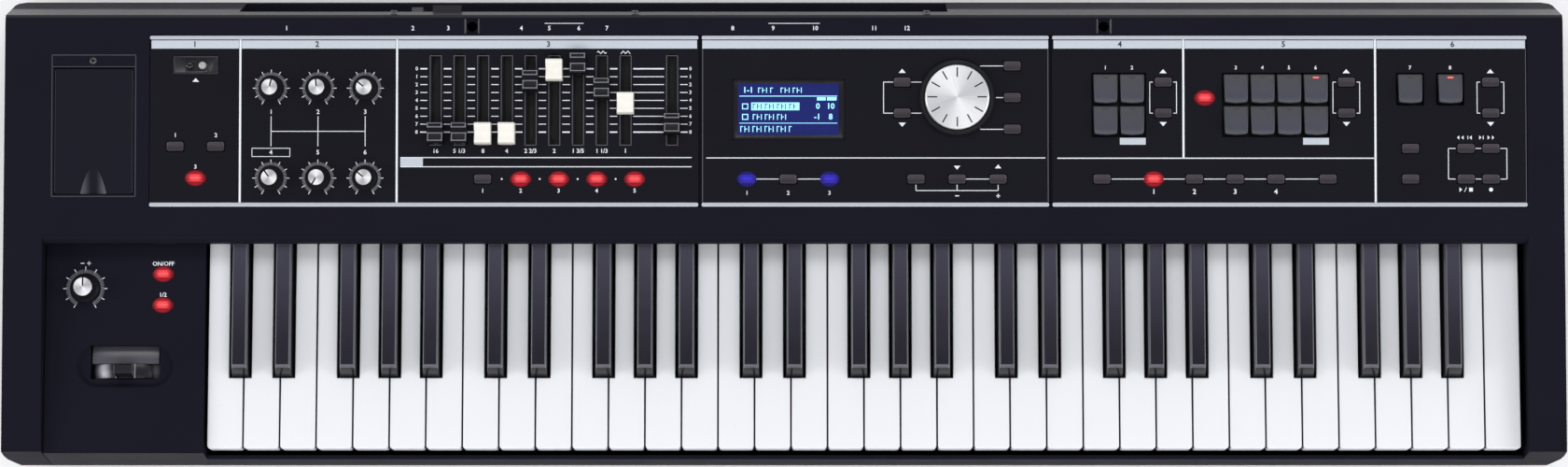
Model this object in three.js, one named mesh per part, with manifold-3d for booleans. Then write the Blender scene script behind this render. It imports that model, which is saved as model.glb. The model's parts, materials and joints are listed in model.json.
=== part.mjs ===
// A combo organ: sixty-one square-fronted keys, nine drawbars and a sloping control panel.
// Millimetres, +Z up, +Y towards the rear, +X to the player's right. The origin is on the
// surface that the feet stand on, at the middle of the case.
import * as THREE from "three";
import { mergeVertices } from "three/addons/utils/BufferGeometryUtils.js";
import Module from "manifold-3d";

const wasm = await Module();
wasm.setup();

// General values
const degree = Math.PI / 180;
const overrun = 1; // how far a cutting tool passes the face it cuts
const clearance = 0.3; // between pieces that seat on or slide in each other
const roundSides = 12; // sides of a small round shaft or hole
const knobSides = 12;
const postSides = 6; // sides of posts and nuts
const barSides = 8;
const arcSteps = 3; // segments of a rounded edge

// The row of keys
const keyPitch = 23.5;
const keyGap = 1;
const octaveCount = 5;
const whitesPerOctave = 7;
const whiteCount = octaveCount * whitesPerOctave + 1;
const keysWidth = whiteCount * keyPitch;

// The case, from left to right and from front to rear
const leftCheekWidth = 27.5;
const controlBlockWidth = 103.5;
const keysLeftGap = 1.5;
const keysRightGap = 3.5;
const rightCheekWidth = 26;
const caseWidth =
  leftCheekWidth + controlBlockWidth + keysLeftGap + keysWidth + keysRightGap + rightCheekWidth;
const keyWellDepth = 142.8;
const panelLength = 143;
const panelSlope = 4.5 * degree;
const rearRun = 18.6; // how far the rear wall leans out
const caseDepth = keyWellDepth + panelLength * Math.cos(panelSlope) + rearRun;

const whiteTop = 66; // height of the white keys' tops
const blackHeight = 11.5; // of the black keys over the white ones
const lipGap = 3.3; // over the black keys
const lipRadius = 5; // the rounded edge over the keys
const footHeight = 7;
const partingHeight = 30; // the joint between the lower and the upper case
const panelFrontHeight = whiteTop + blackHeight + lipGap + lipRadius;
const panelRise = panelLength * Math.sin(panelSlope);
const caseHeight = panelFrontHeight + panelRise;
const wall = 3.5;
const floorThickness = 3;
const sideFlare = 3; // the sides lean in by this much at the top
const baseInset = 7;
const baseChamfer = 10;
const cornerRadius = 6;
const frontRun = 4.6; // the cheek's front leans in by this much at the top
const rearEdgeRadius = 5;

const caseLeft = -caseWidth / 2;
const caseRight = caseWidth / 2;
const caseFront = -caseDepth / 2;
const caseRear = caseDepth / 2;
const panelFront = caseFront + keyWellDepth;
const panelRear = panelFront + panelLength * Math.cos(panelSlope);
const wellLeft = caseLeft + leftCheekWidth;
const wellRight = caseRight - rightCheekWidth;
const blockRight = wellLeft + controlBlockWidth;
const keysLeft = blockRight + keysLeftGap;
const keysRight = keysLeft + keysWidth;
const panelHeightAt = (y) => panelFrontHeight + (y - panelFront) * Math.tan(panelSlope);

// Colours and finishes
const finish = (color, roughness, metalness = 0) =>
  new THREE.MeshStandardMaterial({ color, roughness, metalness });
const blackPlastic = finish(0x1c1c22, 0.55);
const panelBlack = finish(0x16171c, 0.5);
const ivory = finish(0xe9ebee, 0.3);
const ebony = finish(0x17161b, 0.2);
const capGrey = finish(0x3a3640, 0.45);
const padGrey = finish(0x42434b, 0.4);
const drawbarWhite = finish(0xeceade, 0.4);
const silver = finish(0xd2d6d8, 0.35, 0.8);
const rubber = finish(0x131313, 0.9);
const steel = finish(0xa9adb2, 0.4, 0.9);
const boardGreen = finish(0x1e5a3c, 0.6);
const glassBlue = finish(0x0b0f3a, 0.1);
const smokedBlack = finish(0x0d0d10, 0.15);

// Shapes: every function gives a closed BufferGeometry, and join and cut give solids

const between = (x0, x1, y0, y1, z0, z1) =>
  new THREE.BoxGeometry(x1 - x0, y1 - y0, z1 - z0).translate(
    (x0 + x1) / 2,
    (y0 + y1) / 2,
    (z0 + z1) / 2,
  );

const centredBox = (x, y, width, depth, z0, z1) =>
  between(x - width / 2, x + width / 2, y - depth / 2, y + depth / 2, z0, z1);

const disc = (x, y, radius, z0, z1, sides = roundSides) =>
  new THREE.CylinderGeometry(radius, radius, z1 - z0, sides)
    .rotateX(Math.PI / 2)
    .translate(x, y, (z0 + z1) / 2);

const rodAlongX = (x0, x1, y, z, radius, sides = roundSides) =>
  new THREE.CylinderGeometry(radius, radius, x1 - x0, sides)
    .rotateZ(Math.PI / 2)
    .translate((x0 + x1) / 2, y, z);

const rodAlongY = (x, y0, y1, z, radius, sides = roundSides) =>
  new THREE.CylinderGeometry(radius, radius, y1 - y0, sides).translate(x, (y0 + y1) / 2, z);

const outline = (points) => new THREE.Shape(points.map(([a, b]) => new THREE.Vector2(a, b)));

const extruded = (points, depth) =>
  new THREE.ExtrudeGeometry(outline(points), { depth, bevelEnabled: false });

// A prism whose outline is in plan
const prismZ = (points, z0, z1) => extruded(points, z1 - z0).translate(0, 0, z0);

// A prism whose outline is a side view: points are (y, z)
const prismX = (points, x0, x1) =>
  extruded(points, x1 - x0)
    .applyMatrix4(
      new THREE.Matrix4().makeBasis(
        new THREE.Vector3(0, 1, 0),
        new THREE.Vector3(0, 0, 1),
        new THREE.Vector3(1, 0, 0),
      ),
    )
    .translate(x0, 0, 0);

// A prism whose outline is a front view: points are (x, z)
const prismY = (points, y0, y1) =>
  extruded(points, y1 - y0)
    .rotateX(Math.PI / 2)
    .translate(0, y1, 0);

// A turned piece: points are (radius, z), from the axis round to the axis
const turned = (points, sides = knobSides) =>
  new THREE.LatheGeometry(
    points.map(([r, z]) => new THREE.Vector2(r, z)),
    sides,
  ).rotateX(Math.PI / 2);

// Points of an arc in the plane of a profile, both ends included
const arc = (a, b, radius, from, to, steps = arcSteps) =>
  Array.from({ length: steps + 1 }, (_, i) => {
    const angle = from + ((to - from) * i) / steps;
    return [a + radius * Math.cos(angle), b + radius * Math.sin(angle)];
  });

const roundedRectangle = (x, y, width, depth, radius, steps = 2) => {
  const dx = width / 2 - radius;
  const dy = depth / 2 - radius;
  return [
    ...arc(x + dx, y + dy, radius, 0, Math.PI / 2, steps),
    ...arc(x - dx, y + dy, radius, Math.PI / 2, Math.PI, steps),
    ...arc(x - dx, y - dy, radius, Math.PI, Math.PI * 1.5, steps),
    ...arc(x + dx, y - dy, radius, Math.PI * 1.5, Math.PI * 2, steps),
  ];
};

function solid(shape) {
  if (!shape.isBufferGeometry) return shape;
  const bare = new THREE.BufferGeometry().setAttribute("position", shape.getAttribute("position"));
  if (shape.index) bare.setIndex(shape.index);
  const merged = mergeVertices(bare);
  const corners = merged.index.array;
  const kept = [];
  for (let i = 0; i < corners.length; i += 3) {
    const [a, b, c] = [corners[i], corners[i + 1], corners[i + 2]];
    if (a !== b && b !== c && a !== c) kept.push(a, b, c);
  }
  return new wasm.Manifold(
    new wasm.Mesh({
      numProp: 3,
      vertProperties: new Float32Array(merged.attributes.position.array),
      triVerts: new Uint32Array(kept),
    }),
  );
}

const join = (...shapes) => shapes.flat(Infinity).map(solid).reduce((whole, next) => whole.add(next));
const cut = (shape, ...tools) => {
  const flat = tools.flat(Infinity);
  return flat.length ? solid(shape).subtract(join(flat)) : solid(shape);
};
const common = (...shapes) => shapes.map(solid).reduce((whole, next) => whole.intersect(next));

function named(name, shape, material) {
  const { vertProperties, triVerts } = solid(shape).getMesh();
  const geometry = new THREE.BufferGeometry()
    .setAttribute("position", new THREE.BufferAttribute(vertProperties, 3))
    .setIndex(new THREE.BufferAttribute(triVerts, 1));
  geometry.computeVertexNormals();
  const mesh = new THREE.Mesh(geometry, material);
  mesh.name = name;
  return mesh;
}

const organ = new THREE.Group();
organ.name = "combo_organ";

// The control panel's own frame: x as the organ's, y up the slope from the edge over the keys,
// z out of the panel's face.
const panel = new THREE.Group();
panel.name = "control_panel";
panel.position.set(0, panelFront, panelFrontHeight);
panel.rotation.x = panelSlope;
panel.updateMatrix();
organ.add(panel);
const onPanel = (shape) => shape.applyMatrix4(panel.matrix);

// Places on the control panel, in the panel's frame

const plateThickness = 1.6;
const plateFront = 18.4;
const plateRearMargin = 14.6; // behind the plates, to the panel's rear edge
const plateRear = panelLength - plateRearMargin;
const plateDepth = plateRear - plateFront;
const plateGap = 2.1; // the groove between two plates
const plateLeftMargin = 96.2; // from the case's left side
const plateRightMargin = 26.4; // from the case's right side
const organPlateWidth = 353.8; // to the middle of the groove
const tonePlateWidth = 306.2;
const organStart = caseLeft + plateLeftMargin;
const displayStart = organStart + organPlateWidth;
const toneEnd = caseRight - plateRightMargin;
const toneStart = toneEnd - tonePlateWidth;
const displayPlateWidth = toneStart - displayStart;
const plateDivisions = [organStart, displayStart, toneStart, toneEnd];

// Places on a plate, as shares of its width and of the plates' depth
const alongOrgan = (share) => organStart + share * organPlateWidth;
const alongDisplay = (share) => displayStart + share * displayPlateWidth;
const alongTone = (share) => toneStart + share * tonePlateWidth;
const rowAt = (share) => plateFront + share * plateDepth;
const ribWidth = 2.4;
const ribHeight = 0.8;
const seatLedge = 4;
const plateLeft = (i) => plateDivisions[i] + (i > 0 ? plateGap / 2 : 0);
const plateRight = (i) => plateDivisions[i + 1] - (i < 2 ? plateGap / 2 : 0);

// Small push buttons
const buttonWidth = 10.8;
const buttonDepth = 6;
const buttonRise = 1.6;
const lowRowShare = 0.1618; // the row of buttons near the keys
const levelUpShare = 0.7291;
const levelDownShare = 0.5473;
const lowRow = rowAt(lowRowShare);
const levelUpRow = rowAt(levelUpShare);
const levelDownRow = rowAt(levelDownShare);

const beamButtonShares = [
  [0.0466, 0.3527],
  [0.1204, 0.3527],
  [0.0834, 0.1673],
];
const beamButtons = beamButtonShares.map(([x, y]) => [alongOrgan(x), rowAt(y)]);
const organButtonPitch = 24.4;
const organButtonsShare = 0.6054;
const organButtonsLeft = alongOrgan(organButtonsShare);
const organButtons = [0, 1, 2, 3, 4].map((i) => [organButtonsLeft + i * organButtonPitch, lowRow]);
const modePitch = 26.5;
const modeShare = 0.134;
const modeLeft = alongDisplay(modeShare);
const modeButtons = [0, 1, 2].map((i) => [modeLeft + i * modePitch, lowRow]);
const octavePitch = 26.4;
const octaveShare = 0.6158;
const octaveLeft = alongDisplay(octaveShare);
const octaveButtons = [0, 1, 2].map((i) => [octaveLeft + i * octavePitch, lowRow]);
const cursorShare = 0.5768;
const cursorX = alongDisplay(cursorShare);
const cursorButtons = [
  [cursorX, levelUpRow],
  [cursorX, levelDownRow],
];
const menuShare = 0.8904;
const menuX = alongDisplay(menuShare);
const menuPitch = 20.4;
const menuRowShare = 0.4527;
const menuBottom = rowAt(menuRowShare);
const menuButtons = [0, 1, 2].map((i) => [menuX, menuBottom + i * menuPitch]);
const levelShares = [0.2364, 0.6212, 0.9239];
const levelColumns = levelShares.map(alongTone);
const levelButtons = (column) => [
  [levelColumns[column], levelUpRow],
  [levelColumns[column], levelDownRow],
];
const splitShares = [0.3236, 0.6364];
const splitButton = [alongTone(splitShares[0]), rowAt(splitShares[1])];
const registrationShares = [0.1074, 0.2162, 0.3014, 0.387, 0.4726, 0.5816];
const registrationRow = registrationShares.map((x) => [alongTone(x), lowRow]);
const transportShare = 0.3409;
const transportRow = rowAt(transportShare);
const looperShare = 0.7551;
const looperX = alongTone(looperShare);
const rewindShare = 0.8713;
const rewindX = alongTone(rewindShare);
const transportButtons = [looperX, rewindX, levelColumns[2]].flatMap((x) => [
  [x, transportRow],
  [x, lowRow],
]);

// Tone pads
const padWidth = 16.2;
const padDepth = 18.2;
const padFrontWidth = 14.6;
const padFrontBow = 1;
const padRearRise = 1.4;
const padFrontRise = 4;
const padPitchX = 17.1;
const padRowShares = [0.6927, 0.5073];
const padRows = padRowShares.map(rowAt);
const pianoPadsShare = 0.1153;
const pianoPadsLeft = alongTone(pianoPadsShare);
const synthPadsShare = 0.3893;
const synthPadsLeft = alongTone(synthPadsShare);
const tapPadShare = 0.8393;
const padGrid = (left, columns) =>
  Array.from({ length: columns }, (_, i) => padRows.map((y) => [left + i * padPitchX, y])).flat();
const pianoPads = padGrid(pianoPadsLeft, 2);
const synthPads = padGrid(synthPadsLeft, 4);
const drumPads = [
  [looperX, padRows[0]],
  [alongTone(tapPadShare), padRows[0]],
];

// Turning controls
const effectKnobShares = [0.2205, 0.3058, 0.3915];
const effectKnobRowShares = [0.6936, 0.1673];
const effectKnobColumns = effectKnobShares.map(alongOrgan);
const effectKnobRows = effectKnobRowShares.map(rowAt);
const dialShares = [0.7329, 0.6382];
const dialPlace = [alongDisplay(dialShares[0]), rowAt(dialShares[1])];
const dialRadius = 20.7;

// Sliders: the nine drawbars and the level slider
const sliderPitch = 15.26;
const drawbarCount = 9;
const sliderShare = 0.5195;
const levelSliderShare = 0.9491;
const sliderColumns = [
  ...Array.from({ length: drawbarCount }, (_, i) => alongOrgan(sliderShare) + i * sliderPitch),
  alongOrgan(levelSliderShare),
];
const sliderTravel = 45;
const sliderLowestShare = 0.4255; // the cap's middle at the near end of its travel
const sliderLowest = rowAt(sliderLowestShare);
const sliderRest = [0, 0, 0, 0, 33.6, 40.8, 44.7, 28.6, 19.4, 6]; // as the photograph shows them
const slotWidth = 4.4;
const slotEnds = 6.5; // how far a slot runs past the cap's middle at each end

// Display, beam sensor and the memory compartment
const displayShares = [0.2529, 0.5682];
const displayPlace = [alongDisplay(displayShares[0]), rowAt(displayShares[1])];
const displaySize = [71.6, 38.6];
const beamShares = [0.0831, 0.8282];
const beamPlace = [alongOrgan(beamShares[0]), rowAt(beamShares[1])];
const beamSize = [28.8, 11.6];
const doorMargin = 60.2; // the door's middle from the case's left side
const doorRow = 67.1;
const doorPlace = [caseLeft + doorMargin, doorRow];
const doorSize = [50.4, 81];
const restMargin = 8.4; // the rest sockets' middle to the panel's rear edge
const restRow = panelLength - restMargin;
const restShares = [0.5851, 0.1127]; // along the organ and the tone plate
const restSockets = [
  [alongOrgan(restShares[0]), restRow],
  [alongTone(restShares[1]), restRow],
];

// Under the plates
const boardThickness = 1.6;
const boardDepth = 16; // the board's underside below the panel's face
const boardTop = boardThickness - boardDepth;
const webTop = -plateThickness - clearance;
const webThickness = 1.5;
const webWidth = 3;
const buttonTravel = 1;
const switchGap = 0.3; // left between cap and switch at full travel
const switchWidth = 5;
const switchTop = webTop - webThickness - buttonTravel - switchGap;

// The case

// The case's outer form taken in by an inset all round
function caseForm(inset, bottom, top) {
  const slack = overrun + inset;
  const rearTop = panelRear - inset;
  const rearEdge = inset ? 0 : rearEdgeRadius;
  const frontTop = caseFront + frontRun + inset;
  const rearTopHeight = panelHeightAt(rearTop) - inset;
  const side = [
    [caseFront + baseInset + inset, footHeight],
    [caseRear - baseInset - inset, footHeight],
    [caseRear - inset, footHeight + baseChamfer],
    [caseRear - inset, partingHeight],
    ...(rearEdge
      ? arc(rearTop - rearEdge, rearTopHeight - rearEdge, rearEdge, 0, Math.PI / 2 + panelSlope)
      : [[rearTop, rearTopHeight]]),
    [frontTop, panelHeightAt(frontTop) - inset],
    [caseFront + inset, partingHeight],
    [caseFront + inset, footHeight + baseChamfer],
  ];
  const front = [
    [caseLeft + baseInset + inset, footHeight],
    [caseRight - baseInset - inset, footHeight],
    [caseRight - inset, footHeight + baseChamfer],
    [caseRight - inset, partingHeight],
    [caseRight - sideFlare - inset, caseHeight],
    [caseLeft + sideFlare + inset, caseHeight],
    [caseLeft + inset, partingHeight],
    [caseLeft + inset, footHeight + baseChamfer],
  ];
  const plan = roundedRectangle(
    0,
    0,
    caseWidth - 2 * inset,
    caseDepth - 2 * inset,
    cornerRadius,
  );
  return common(
    prismX(side, caseLeft - slack, caseRight + slack),
    prismY(front, caseFront - slack, caseRear + slack),
    prismZ(plan, bottom, top),
  );
}

const lipBottom = panelFrontHeight - lipRadius;
const lipBack = panelFront + lipRadius;
const tunnelRear = panelFront + lipRadius + overrun;

// The rear pocket that holds the sockets
const pocketMargin = 151; // from the case's left side
const pocketLength = 459;
const pocketLeft = caseLeft + pocketMargin;
const pocketRight = pocketLeft + pocketLength;
const pocketBottom = 36;
const pocketTop = 78;
const pocketDepth = 20.5;
const pocketFloor = caseRear - pocketDepth; // its y
const pocketWall = 3;
const pocketLedge = 3;

// The compartment door's hinge
const doorThickness = 2;
const hingeRadius = 1.6;
const hingePinRadius = 0.9;
const hingePinLength = 1.8;
const hingeLine = doorPlace[1] + doorSize[1] / 2 - hingeRadius;
const doorLedge = 2.2;
const doorSupport = 0.2; // left under the closed door

// The sockets for a music rest
const restRecess = 9.6;
const restRecessDepth = 1.6;
const restRadius = 3.4;
const restDepth = 14;
const restBossRadius = 6;
const restBossFloor = 2;

function upperCase() {
  const lip = arc(panelFront, lipBottom, lipRadius, Math.PI, Math.PI / 2);
  const well = prismX(
    [
      [caseFront - overrun, partingHeight - overrun],
      [tunnelRear, partingHeight - overrun],
      [tunnelRear, lipBottom],
      ...lip,
      [panelFront, caseHeight + overrun],
      [caseFront - overrun, caseHeight + overrun],
    ],
    wellLeft,
    wellRight,
  );
  const hollow = caseForm(wall, partingHeight - overrun, caseHeight);
  const reach = caseWidth;
  const rearHollow = common(
    hollow,
    between(-reach, reach, lipBack, caseDepth, 0, caseHeight),
  );
  const leftHollow = common(
    hollow,
    between(-reach, wellLeft - wall, -caseDepth, lipBack + overrun, 0, caseHeight),
  );
  const rightHollow = common(
    hollow,
    between(wellRight + wall, reach, -caseDepth, lipBack + overrun, 0, caseHeight),
  );
  const seat = between(
    plateDivisions[0] - clearance,
    plateDivisions[3] + clearance,
    plateFront - clearance,
    plateRear + clearance,
    -plateThickness - clearance,
    overrun,
  );
  const windows = [0, 1, 2].map((i) =>
    between(
      plateLeft(i) + seatLedge,
      plateRight(i) - seatLedge,
      plateFront + seatLedge,
      plateRear - seatLedge,
      -wall * 2,
      overrun,
    ),
  );
  const [doorX, doorY] = doorPlace;
  const [doorWidth, doorLength] = doorSize;
  const doorSeat = centredBox(
    doorX,
    doorY,
    doorWidth + 2 * clearance,
    doorLength + 2 * clearance,
    -doorThickness - doorSupport,
    overrun,
  );
  const compartment = centredBox(
    doorX,
    doorY,
    doorWidth - 2 * doorLedge,
    doorLength - 2 * doorLedge,
    -wall * 2,
    overrun,
  );
  const hingeTrough = between(
    doorX - doorWidth / 2 - clearance,
    doorX + doorWidth / 2 + clearance,
    hingeLine - hingeRadius - doorLedge,
    hingeLine + hingeRadius + clearance,
    -wall * 2,
    overrun,
  );
  const hingeHoles = rodAlongX(
    doorX - doorWidth / 2 - hingePinLength - clearance,
    doorX + doorWidth / 2 + hingePinLength + clearance,
    hingeLine,
    -hingeRadius,
    hingePinRadius + clearance,
  );
  const restBosses = restSockets.map(([x, y]) =>
    onPanel(disc(x, y, restBossRadius, -restDepth - restBossFloor, -wall / 2)),
  );
  const restHoles = restSockets.flatMap(([x, y]) => [
    onPanel(disc(x, y, restRadius, -restDepth, overrun)),
    onPanel(centredBox(x, y, restRecess, restRecess, -restRecessDepth, overrun)),
  ]);
  const surround = common(
    between(
      pocketLeft - pocketWall,
      pocketRight + pocketWall,
      pocketFloor - pocketWall,
      caseRear,
      pocketBottom - pocketWall,
      pocketTop + pocketWall,
    ),
    caseForm(0, partingHeight, caseHeight + overrun),
  );
  const pocket = [
    between(pocketLeft, pocketRight, pocketFloor, caseRear + overrun, pocketBottom, pocketTop),
    between(
      pocketLeft + pocketLedge,
      pocketRight - pocketLedge,
      pocketFloor - pocketWall - overrun,
      caseRear,
      pocketBottom + pocketLedge,
      pocketTop - pocketLedge,
    ),
  ];
  const shell = cut(
    caseForm(0, partingHeight, caseHeight + overrun),
    well,
    rearHollow,
    leftHollow,
    rightHollow,
  );
  return cut(
    join(shell, restBosses, surround),
    onPanel(seat),
    windows.map(onPanel),
    onPanel(doorSeat),
    onPanel(compartment),
    onPanel(hingeTrough),
    onPanel(hingeHoles),
    restHoles,
    pocket,
  );
}
organ.add(named("upper_case", upperCase(), blackPlastic));

// The rail in front of the keys, and the posts that carry what is inside
const railDrop = 14; // the rail's top under the white keys' tops
const railHeight = whiteTop - railDrop;
const railThickness = 2.6;
const railEdge = 1.2;
const keyFront = caseFront + frontRun + railThickness;
const postRadius = 4;
const footRadius = 11;
const footInset = 42;
const footPlaces = [
  [caseLeft + footInset, caseFront + footInset],
  [caseRight - footInset, caseFront + footInset],
  [caseLeft + footInset, caseRear - footInset],
  [caseRight - footInset, caseRear - footInset],
];
const caseFloor = footHeight + floorThickness;
const frameHeight = 22; // the keybed frame's underside
const frameThickness = 2;
const framePostSpread = 190;
const framePostSetbacks = [29.8, 154.8]; // from the keys' fronts
const mainBoardMargins = [264, 57]; // its middle from the case's right side and rear
const mainBoardPlace = [caseRight - mainBoardMargins[0], caseRear - mainBoardMargins[1]];
const mainBoardSize = [180, 74];
const mainBoardHeight = 16;
const boardMargin = 6;
const bracketHeight = 14;

const corners = ([x, y], [width, depth], margin) =>
  [-1, 1].flatMap((sx) =>
    [-1, 1].map((sy) => [x + sx * (width / 2 - margin), y + sy * (depth / 2 - margin)]),
  );

// The control block beside the keys, and the bender in it
const blockClearance = 0.5;
const blockStep = 3; // the block's top over the white keys' tops
const blockHeight = whiteTop + blockStep;
const blockLeft = wellLeft + blockClearance;
const blockMiddle = (wellLeft + blockRight) / 2;
const bracketSize = [86, 96];
const bracketSetback = 64; // its middle from the case's front
const bracketPlace = [blockMiddle, caseFront + bracketSetback];

function lowerCase() {
  const railRun = (frontRun * (railHeight - partingHeight)) / (caseHeight - partingHeight);
  const railTopFront = caseFront + railRun;
  const rail = prismX(
    [
      [caseFront, partingHeight - overrun],
      [caseFront + railThickness + railRun, partingHeight - overrun],
      [railTopFront + railThickness, railHeight],
      [railTopFront + railEdge, railHeight],
      [railTopFront, railHeight - railEdge],
      [caseFront, partingHeight],
    ],
    blockRight + clearance,
    wellRight - clearance,
  );
  const tray = cut(
    caseForm(0, footHeight, partingHeight - clearance),
    caseForm(wall, caseFloor, partingHeight + overrun),
  );
  const framePosts = framePostSetbacks.flatMap((y) =>
    [-2, -1, 0, 1, 2].map((i) =>
      disc(
        (keysLeft + keysRight) / 2 + i * framePostSpread,
        keyFront + y,
        postRadius,
        caseFloor - overrun,
        frameHeight,
        postSides,
      ),
    ),
  );
  const boardPosts = corners(mainBoardPlace, mainBoardSize, boardMargin).map(([x, y]) =>
    disc(x, y, postRadius, caseFloor - overrun, mainBoardHeight, postSides),
  );
  const bracketPosts = corners(bracketPlace, bracketSize, boardMargin).map(([x, y]) =>
    disc(x, y, postRadius, caseFloor - overrun, bracketHeight, postSides),
  );
  return join(tray, rail, framePosts, boardPosts, bracketPosts);
}
organ.add(named("lower_case", lowerCase(), blackPlastic));

["front_left", "front_right", "rear_left", "rear_right"].forEach((place, i) => {
  const [x, y] = footPlaces[i];
  organ.add(named("foot_" + place, disc(x, y, footRadius, 0, footHeight, knobSides), rubber));
});

// The three plates

const buttonHole = ([x, y]) =>
  centredBox(
    x,
    y,
    buttonWidth + 2 * clearance,
    buttonDepth + 2 * clearance,
    -plateThickness - overrun,
    overrun,
  );

function plate(index) {
  const body = between(
    plateLeft(index),
    plateRight(index),
    plateFront,
    plateRear,
    -plateThickness,
    0,
  );
  const rib = (y0, y1) =>
    between(plateLeft(index), plateRight(index), y0, y1, -plateThickness, ribHeight);
  return join(body, rib(plateFront, plateFront + ribWidth), rib(plateRear - ribWidth, plateRear));
}

const padGap = 0.9; // between a pad and the edge of its opening
const padHole = (pads) => {
  const xs = pads.map(([x]) => x);
  const ys = pads.map(([, y]) => y);
  return between(
    Math.min(...xs) - padWidth / 2 - padGap,
    Math.max(...xs) + padWidth / 2 + padGap,
    Math.min(...ys) - padDepth / 2 - padGap - padFrontBow,
    Math.max(...ys) + padDepth / 2 + padGap,
    -plateThickness - overrun,
    overrun,
  );
};

const shaftRadius = 3;
const shaftRise = 8;
const shaftHoleRadius = shaftRadius + clearance * 2;
const shaftHole = ([x, y]) =>
  disc(x, y, shaftHoleRadius, -plateThickness - overrun, overrun);
const slotHole = (x) =>
  between(
    x - slotWidth / 2,
    x + slotWidth / 2,
    sliderLowest - slotEnds,
    sliderLowest + sliderTravel + slotEnds,
    -plateThickness - overrun,
    overrun,
  );
const effectKnobs = effectKnobRows.flatMap((y) => effectKnobColumns.map((x) => [x, y]));
const windowHole = ([x, y], [width, depth]) =>
  centredBox(
    x,
    y,
    width + 2 * clearance,
    depth + 2 * clearance,
    -plateThickness - overrun,
    overrun,
  );

const organPlate = cut(
  plate(0),
  beamButtons.map(buttonHole),
  organButtons.map(buttonHole),
  effectKnobs.map(shaftHole),
  sliderColumns.map(slotHole),
  windowHole(beamPlace, beamSize),
);
panel.add(named("organ_panel_plate", organPlate, panelBlack));

const collarWidth = 3.2;
const collarRise = 2.4;
const collarGap = 0.6;
function displayPlate() {
  const [x, y] = dialPlace;
  const collar = cut(
    disc(x, y, dialRadius + collarGap + collarWidth, -plateThickness, collarRise, knobSides * 2),
    disc(x, y, dialRadius + collarGap, 0, collarRise + overrun, knobSides * 2),
  );
  return cut(
    join(plate(1), collar),
    [...modeButtons, ...octaveButtons, ...cursorButtons, ...menuButtons].map(buttonHole),
    shaftHole(dialPlace),
    windowHole(displayPlace, displaySize),
  );
}
panel.add(named("display_panel_plate", displayPlate(), panelBlack));

const tonePlateButtons = [
  ...levelButtons(0),
  ...levelButtons(1),
  ...levelButtons(2),
  splitButton,
  ...registrationRow,
  ...transportButtons,
];
const tonePlate = cut(
  plate(2),
  tonePlateButtons.map(buttonHole),
  [pianoPads, synthPads, ...drumPads.map((pad) => [pad])].map(padHole),
);
panel.add(named("tone_panel_plate", tonePlate, panelBlack));

// Push buttons: each set is one moulding, with its caps on a web under the plate

const button = ([x, y]) =>
  centredBox(x, y, buttonWidth, buttonDepth, webTop - webThickness, buttonRise);

function pad([x, y]) {
  const rear = y + padDepth / 2;
  const front = y - padDepth / 2;
  const plan = [
    [x - padWidth / 2, rear],
    [x - padFrontWidth / 2, front],
    [x - padFrontWidth / 4, front - padFrontBow],
    [x + padFrontWidth / 4, front - padFrontBow],
    [x + padFrontWidth / 2, front],
    [x + padWidth / 2, rear],
  ];
  const side = [
    [front - padFrontBow - overrun, webTop - webThickness],
    [rear + overrun, webTop - webThickness],
    [rear + overrun, padRearRise],
    [front + padDepth / 4, padFrontRise],
    [front - padFrontBow - overrun, padFrontRise],
  ];
  return common(
    prismZ(plan.reverse(), webTop - webThickness, padFrontRise),
    prismX(side, x - padWidth, x + padWidth),
  );
}

// Strips of web from place to place
const webAlongX = (y, x0, x1) =>
  between(x0, x1, y - webWidth / 2, y + webWidth / 2, webTop - webThickness, webTop);
const webAlongY = (x, y0, y1) =>
  between(x - webWidth / 2, x + webWidth / 2, y0, y1, webTop - webThickness, webTop);

const sliderBodyWidth = 9;
const beamWebY = beamButtons[2][1];
const organButtonSet = join(
  [...beamButtons, ...organButtons].map(button),
  webAlongX(beamButtons[0][1], beamButtons[0][0], beamButtons[1][0]),
  webAlongY(beamButtons[2][0], beamWebY, beamButtons[0][1]),
  // the strip passes under the effects knobs' row, in front of their shafts
  webAlongX(plateFront + seatLedge + webWidth, beamButtons[2][0], organButtons[0][0]),
  webAlongY(beamButtons[2][0], plateFront + seatLedge + webWidth / 2, beamWebY),
  webAlongY(organButtons[0][0], plateFront + seatLedge + webWidth / 2, lowRow),
  webAlongX(lowRow, organButtons[0][0], organButtons[4][0]),
);
panel.add(named("organ_buttons", organButtonSet, capGrey));

const displayButtonSet = join(
  [...modeButtons, ...octaveButtons, ...cursorButtons, ...menuButtons].map(button),
  webAlongX(lowRow, modeButtons[0][0], menuX),
  webAlongY(cursorX, lowRow, levelUpRow),
  webAlongY(menuX, lowRow, menuButtons[2][1]),
);
panel.add(named("display_buttons", displayButtonSet, capGrey));

const toneButtonSet = join(
  tonePlateButtons.map(button),
  [...pianoPads, ...synthPads, ...drumPads].map(pad),
  webAlongX(lowRow, registrationRow[0][0], levelColumns[2]),
  webAlongX(padRows[0], pianoPads[0][0], drumPads[1][0]),
  webAlongX(padRows[1], pianoPads[0][0], levelColumns[1]),
  webAlongY(levelColumns[0], lowRow, levelUpRow),
  webAlongY(levelColumns[1], lowRow, levelUpRow),
  webAlongY(levelColumns[2], lowRow, levelUpRow),
  webAlongY(rewindX, lowRow, transportRow),
  webAlongY(looperX, lowRow, padRows[0]),
  webAlongX(levelDownRow, looperX, levelColumns[2]),
  webAlongY(splitButton[0], padRows[1], padRows[0]),
);
panel.add(named("tone_buttons", toneButtonSet, padGrey));

// Knobs, dial and sliders

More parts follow.
